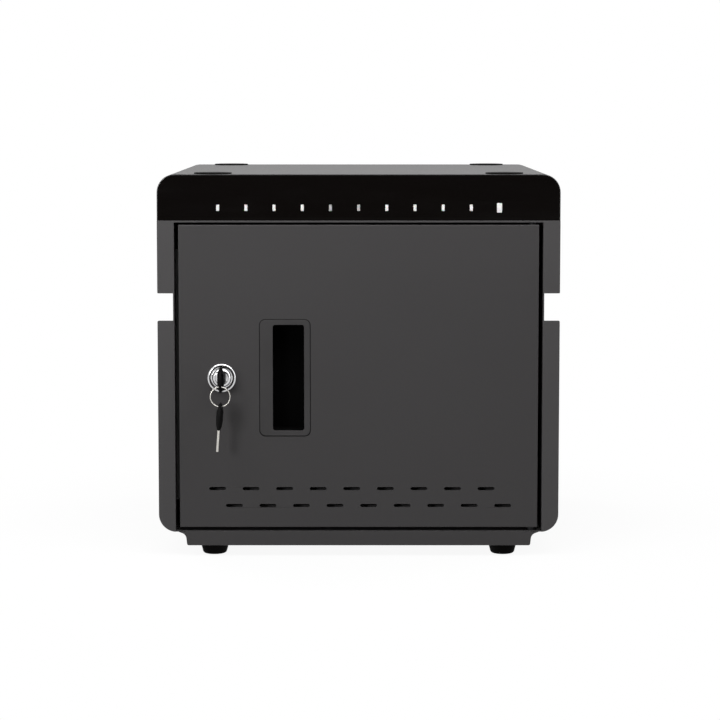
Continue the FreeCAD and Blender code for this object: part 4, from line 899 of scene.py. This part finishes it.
class CABINET_OT_key_ring(bpy.types.Operator):
    """Winds the split key ring from two turns of wire"""
    bl_idname = "cabinet.key_ring"
    bl_label = "Key ring"

    def execute(self, context):
        sizes = context.scene.cabinet_sizes
        low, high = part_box("key_ring")
        radius = (high.x - low.x) / 2 - sizes.ring_wire
        fresh()
        bpy.ops.mesh.primitive_circle_add(vertices=12, radius=sizes.ring_wire,
                                          location=(radius, -sizes.ring_rise, 0))
        piece = keep_place()
        piece.location = RING_MIDDLE
        apply_modifier(piece, "SCREW", axis="Y", angle=WHOLE_TURN, iterations=2, steps=72,
                       render_steps=72, screw_offset=sizes.ring_rise, use_merge_vertices=False)
        keep_place()
        edit()
        bpy.ops.mesh.fill_holes(sides=0)
        bpy.ops.mesh.select_all(action="SELECT")
        bpy.ops.mesh.normals_make_consistent(inside=False)
        leave_edit()
        smooth(piece, angle=50)
        finished(piece, "split_ring", "key_nickel", "ring", "nickel", "key_ring")
        return {"FINISHED"}


class CABINET_OT_stacking_pads(bpy.types.Operator):
    """Rounds the stacking pads on the top"""
    bl_idname = "cabinet.stacking_pads"
    bl_label = "Stacking pads"

    def execute(self, context):
        piece = softened("stacking_pads", context.scene.cabinet_sizes.pad_round, segments=3)
        finished(piece, "stacking_pads_moulded", "foot_rubber", "cabinet", "rubber", "stacking_pads")
        return {"FINISHED"}


class CABINET_OT_rack(bpy.types.Operator):
    """Rounds the rack's dividers and fills the ports with their contact tongues"""
    bl_idname = "cabinet.rack"
    bl_label = "Rack and ports"

    def execute(self, context):
        sizes = context.scene.cabinet_sizes
        dividers = [f"divider_{number:02d}" for number in range(1, DIVIDER_COUNT + 1)]
        for node in ["rack_base"] + dividers:
            finished(softened(node, sizes.moulded_round), f"{node}_moulded", "rack_moulding", "cabinet",
                     "rack_plastic", node)
        low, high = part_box("usb_ports")
        front = low.y + sizes.tongue_back
        middle = (low.z + high.z) / 2
        half = sizes.tongue_thickness / 2
        pitch = (high.x - low.x - sizes.port_width) / (PORT_COUNT - 1)
        tongue = block((low.x + sizes.tongue_edge, front, middle - half),
                       (low.x + sizes.port_width - sizes.tongue_edge, high.y, middle + half))
        edit()
        pick("EDGE", lambda edge: middle_of(edge).y < front + NEAR)
        bpy.ops.mesh.bevel(offset=sizes.tongue_round, segments=2, affect="EDGES")
        leave_edit()
        for number, piece in enumerate(in_a_row(tongue, PORT_COUNT, pitch), 1):
            finished(piece, f"port_tongue_{number:02d}", "black_moulding", "cabinet", "black_plastic")
        return {"FINISHED"}


class CABINET_OT_rear_fittings(bpy.types.Operator):
    """Rounds the rear fittings and makes the cross-head screws"""
    bl_idname = "cabinet.rear_fittings"
    bl_label = "Rear fittings"

    def screw(self, sizes):
        """A crowned head with a cross recess, its seat at the origin, facing back."""
        radius = sizes.screw_head
        points = [(share * radius, height * MILLIMETRE) for share, height in SCREW_OUTLINE]
        piece = lathe(points, Vector(), steps=32)
        for across, up in ((CROSS_REACH, CROSS_HALF), (CROSS_HALF, CROSS_REACH)):
            arm = block((-across * radius, sizes.cross_floor, -up * radius),
                        (across * radius, radius, up * radius))
            cut_out(piece, arm)
        smooth(piece, angle=30)
        return piece

    def execute(self, context):
        sizes = context.scene.cabinet_sizes
        for node, body in (("fuse_drawer", "fuse"), ("switch_housing", "cabinet"),
                           ("switch_rocker", "rocker"), ("fan_frame", "cabinet")):
            finished(softened(node, sizes.fitting_round), f"{node}_moulded",
                     "black_moulding", body, "black_plastic", node)
        low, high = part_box("rear_screws")
        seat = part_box("rear_panel")[1].y
        heights = {round(point.co.z, 4) for point in frame["nodes"]["rear_screws"].data.vertices}
        rows = self.rows(sorted(heights), sizes.screw_head)
        sides = (low.x + sizes.screw_inset, high.x - sizes.screw_inset)
        first = self.screw(sizes)
        spots = [(side, row) for row in rows for side in sides]
        screws = [first] + [copy_of(first) for _ in spots[1:]]
        for number, (piece, (side, row)) in enumerate(zip(screws, spots), 1):
            choose(piece)
            piece.location = (side, seat, row)
            piece.rotation_euler = (0, SCREW_TURN * number, 0)
            keep_place()
            finished(piece, f"rear_screw_{number}", "zinc_plate", "cabinet", "zinc_steel", "rear_screws")
        return {"FINISHED"}

    def rows(self, heights, radius):
        """The middle heights of the screw rows."""
        rows = []
        start = heights[0]
        last = heights[0]
        for height in heights[1:] + [math.inf]:
            if height - last > 4 * radius:
                rows.append((start + last) / 2)
                start = height
            last = height
        return rows


class CABINET_OT_stage(bpy.types.Operator):
    """Sets the floor, lamps, surroundings and camera"""
    bl_idname = "cabinet.stage"
    bl_label = "Stage"

    def tinted(self, tree, kind, tint):
        """A new shader node of one colour."""
        node = tree.nodes.new(kind)
        node.inputs["Color"].default_value = (*tint, 1)
        return node

    def lit_by_sight(self, tree, for_light, for_sight):
        """Shows one shader to the light, and the other to the eye and to mirrors."""
        path = tree.nodes.new("ShaderNodeLightPath")
        seen = path.outputs["Is Camera Ray"]
        for ray in ("Is Glossy Ray", "Is Transmission Ray"):
            either = tree.nodes.new("ShaderNodeMath")
            either.operation = "MAXIMUM"
            tree.links.new(seen, either.inputs[0])
            tree.links.new(path.outputs[ray], either.inputs[1])
            seen = either.outputs["Value"]
        mix = tree.nodes.new("ShaderNodeMixShader")
        tree.links.new(seen, mix.inputs["Fac"])
        tree.links.new(for_light, mix.inputs[1])
        tree.links.new(for_sight, mix.inputs[2])
        return mix.outputs["Shader"]

    def floor_finish(self, tint, bounce):
        """Pale floor that keeps a faint shadow."""
        material = bpy.data.materials.new("pale_floor")
        material.use_nodes = True
        tree = material.node_tree
        tree.nodes.clear()
        out = tree.nodes.new("ShaderNodeOutputMaterial")
        matt = self.tinted(tree, "ShaderNodeBsdfDiffuse", tint)
        back = self.tinted(tree, "ShaderNodeBsdfDiffuse", bounce)
        glow = tree.nodes.new("ShaderNodeEmission")
        part = tree.nodes.new("ShaderNodeMixShader")
        point = tree.nodes.new("ShaderNodeTexCoord").outputs["Object"]
        away = tree.nodes.new("ShaderNodeVectorMath")
        away.operation = "LENGTH"
        tree.links.new(point, away.inputs[0])
        plug(tree, part, Fac=ranged(tree, away.outputs["Value"], GLOW_REACH, GLOW_SHARE))
        tree.links.new(matt.outputs["BSDF"], part.inputs[1])
        tree.links.new(glow.outputs["Emission"], part.inputs[2])
        shown = self.lit_by_sight(tree, back.outputs["BSDF"], part.outputs["Shader"])
        tree.links.new(shown, out.inputs["Surface"])
        return material

    def surroundings(self, stage):
        """Soft light from all round, seen as white."""
        world = bpy.data.worlds.new("surroundings")
        world.use_nodes = True
        tree = world.node_tree
        tree.nodes.clear()
        out = tree.nodes.new("ShaderNodeOutputWorld")
        soft = self.tinted(tree, "ShaderNodeBackground", WHITE)
        soft.inputs["Strength"].default_value = stage.ambient
        white = self.tinted(tree, "ShaderNodeBackground", WHITE)
        shown = self.lit_by_sight(tree, soft.outputs["Background"], white.outputs["Background"])
        tree.links.new(shown, out.inputs["Surface"])
        return world

    def lamp(self, name, place, size, power):
        """A soft rectangular lamp."""
        fresh()
        bpy.ops.object.light_add(type="AREA", location=place)
        lamp = bpy.context.object
        lamp.name = name
        lamp.rotation_euler = (LAMP_AIM - Vector(place)).to_track_quat("-Z", "Y").to_euler()
        lamp.data.shape = "RECTANGLE"
        lamp.data.size, lamp.data.size_y = size
        lamp.data.energy = power
        lamp.visible_camera = False

    def floor(self, stage):
        """The floor under the cabinet."""
        fresh()
        bpy.ops.mesh.primitive_plane_add(size=FLOOR_SIZE)
        floor = bpy.context.object
        floor.name = "floor"
        floor.data.materials.append(self.floor_finish(stage.floor, stage.bounce))

    def dark_card(self, stage):
        """A dark card behind the camera."""
        card = upright_sheet((0, FACE_Y - stage.distance - CARD_BEHIND, CARD_MIDDLE), *CARD_SIZE)
        card.name = "dark_card"
        card.visible_camera = False
        finish, *_ = start_finish("dark_card", Base_Color=(*stage.card, 1), Roughness=1.0)
        card.data.materials.append(finish)

    def camera(self, stage):
        """The camera before the cabinet's face."""
        fresh()
        bpy.ops.object.camera_add(location=(stage.aside, FACE_Y - stage.distance, stage.height),
                                  rotation=(QUARTER_TURN - stage.tilt, 0, 0))
        camera = bpy.context.object
        camera.data.lens = stage.lens
        camera.data.sensor_width = SENSOR_WIDTH
        camera.data.shift_y = stage.shift
        return camera

    def execute(self, context):
        stage = context.scene.cabinet_stage
        self.floor(stage)
        self.dark_card(stage)
        for name, (place, size) in LAMPS.items():
            self.lamp(name, place, size, getattr(stage, name))
        context.scene.world = self.surroundings(stage)
        context.scene.camera = self.camera(stage)
        context.scene.view_settings.view_transform = "Standard"
        return {"FINISHED"}


OPERATORS = (
    CABINET_OT_solids,
    CABINET_OT_steelwork,
    CABINET_OT_light_strip,
    CABINET_OT_door,
    CABINET_OT_pull,
    CABINET_OT_lock,
    CABINET_OT_keys,
    CABINET_OT_key_ring,
    CABINET_OT_stacking_pads,
    CABINET_OT_rack,
    CABINET_OT_rear_fittings,
    CABINET_OT_stage,
)

GROUPS = {
    "cabinet_finishes": CabinetFinishes,
    "cabinet_sizes": CabinetSizes,
    "cabinet_stage": CabinetStage,
}


class CABINET_PT_panel(bpy.types.Panel):
    """Lists the cabinet's operators and settings"""
    bl_idname = "CABINET_PT_panel"
    bl_label = "Charging cabinet"
    bl_space_type = "VIEW_3D"
    bl_region_type = "UI"
    bl_category = "Cabinet"

    def draw(self, context):
        for operator in OPERATORS:
            self.layout.operator(operator.bl_idname)
        for settings in GROUPS:
            group = getattr(context.scene, settings)
            for name in group.__annotations__:
                self.layout.prop(group, name)


def register():
    """Adds the settings, operators and panel."""
    for name, group in GROUPS.items():
        bpy.utils.register_class(group)
        setattr(bpy.types.Scene, name, PointerProperty(type=group))
    for operator in OPERATORS:
        bpy.utils.register_class(operator)
    bpy.utils.register_class(CABINET_PT_panel)


def unregister():
    """Takes the settings, operators and panel away."""
    bpy.utils.unregister_class(CABINET_PT_panel)
    for operator in reversed(OPERATORS):
        bpy.utils.unregister_class(operator)
    for name, group in reversed(GROUPS.items()):
        delattr(bpy.types.Scene, name)
        bpy.utils.unregister_class(group)


def main():
    """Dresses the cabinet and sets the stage."""
    register()
    bpy.ops.cabinet.solids()
    bpy.ops.cabinet.steelwork()
    bpy.ops.cabinet.light_strip()
    bpy.ops.cabinet.door()
    bpy.ops.cabinet.pull()
    bpy.ops.cabinet.lock()
    bpy.ops.cabinet.keys()
    bpy.ops.cabinet.key_ring()
    bpy.ops.cabinet.stacking_pads()
    bpy.ops.cabinet.rack()
    bpy.ops.cabinet.rear_fittings()
    bpy.ops.cabinet.stage()


if __name__ == "__main__":
    main()
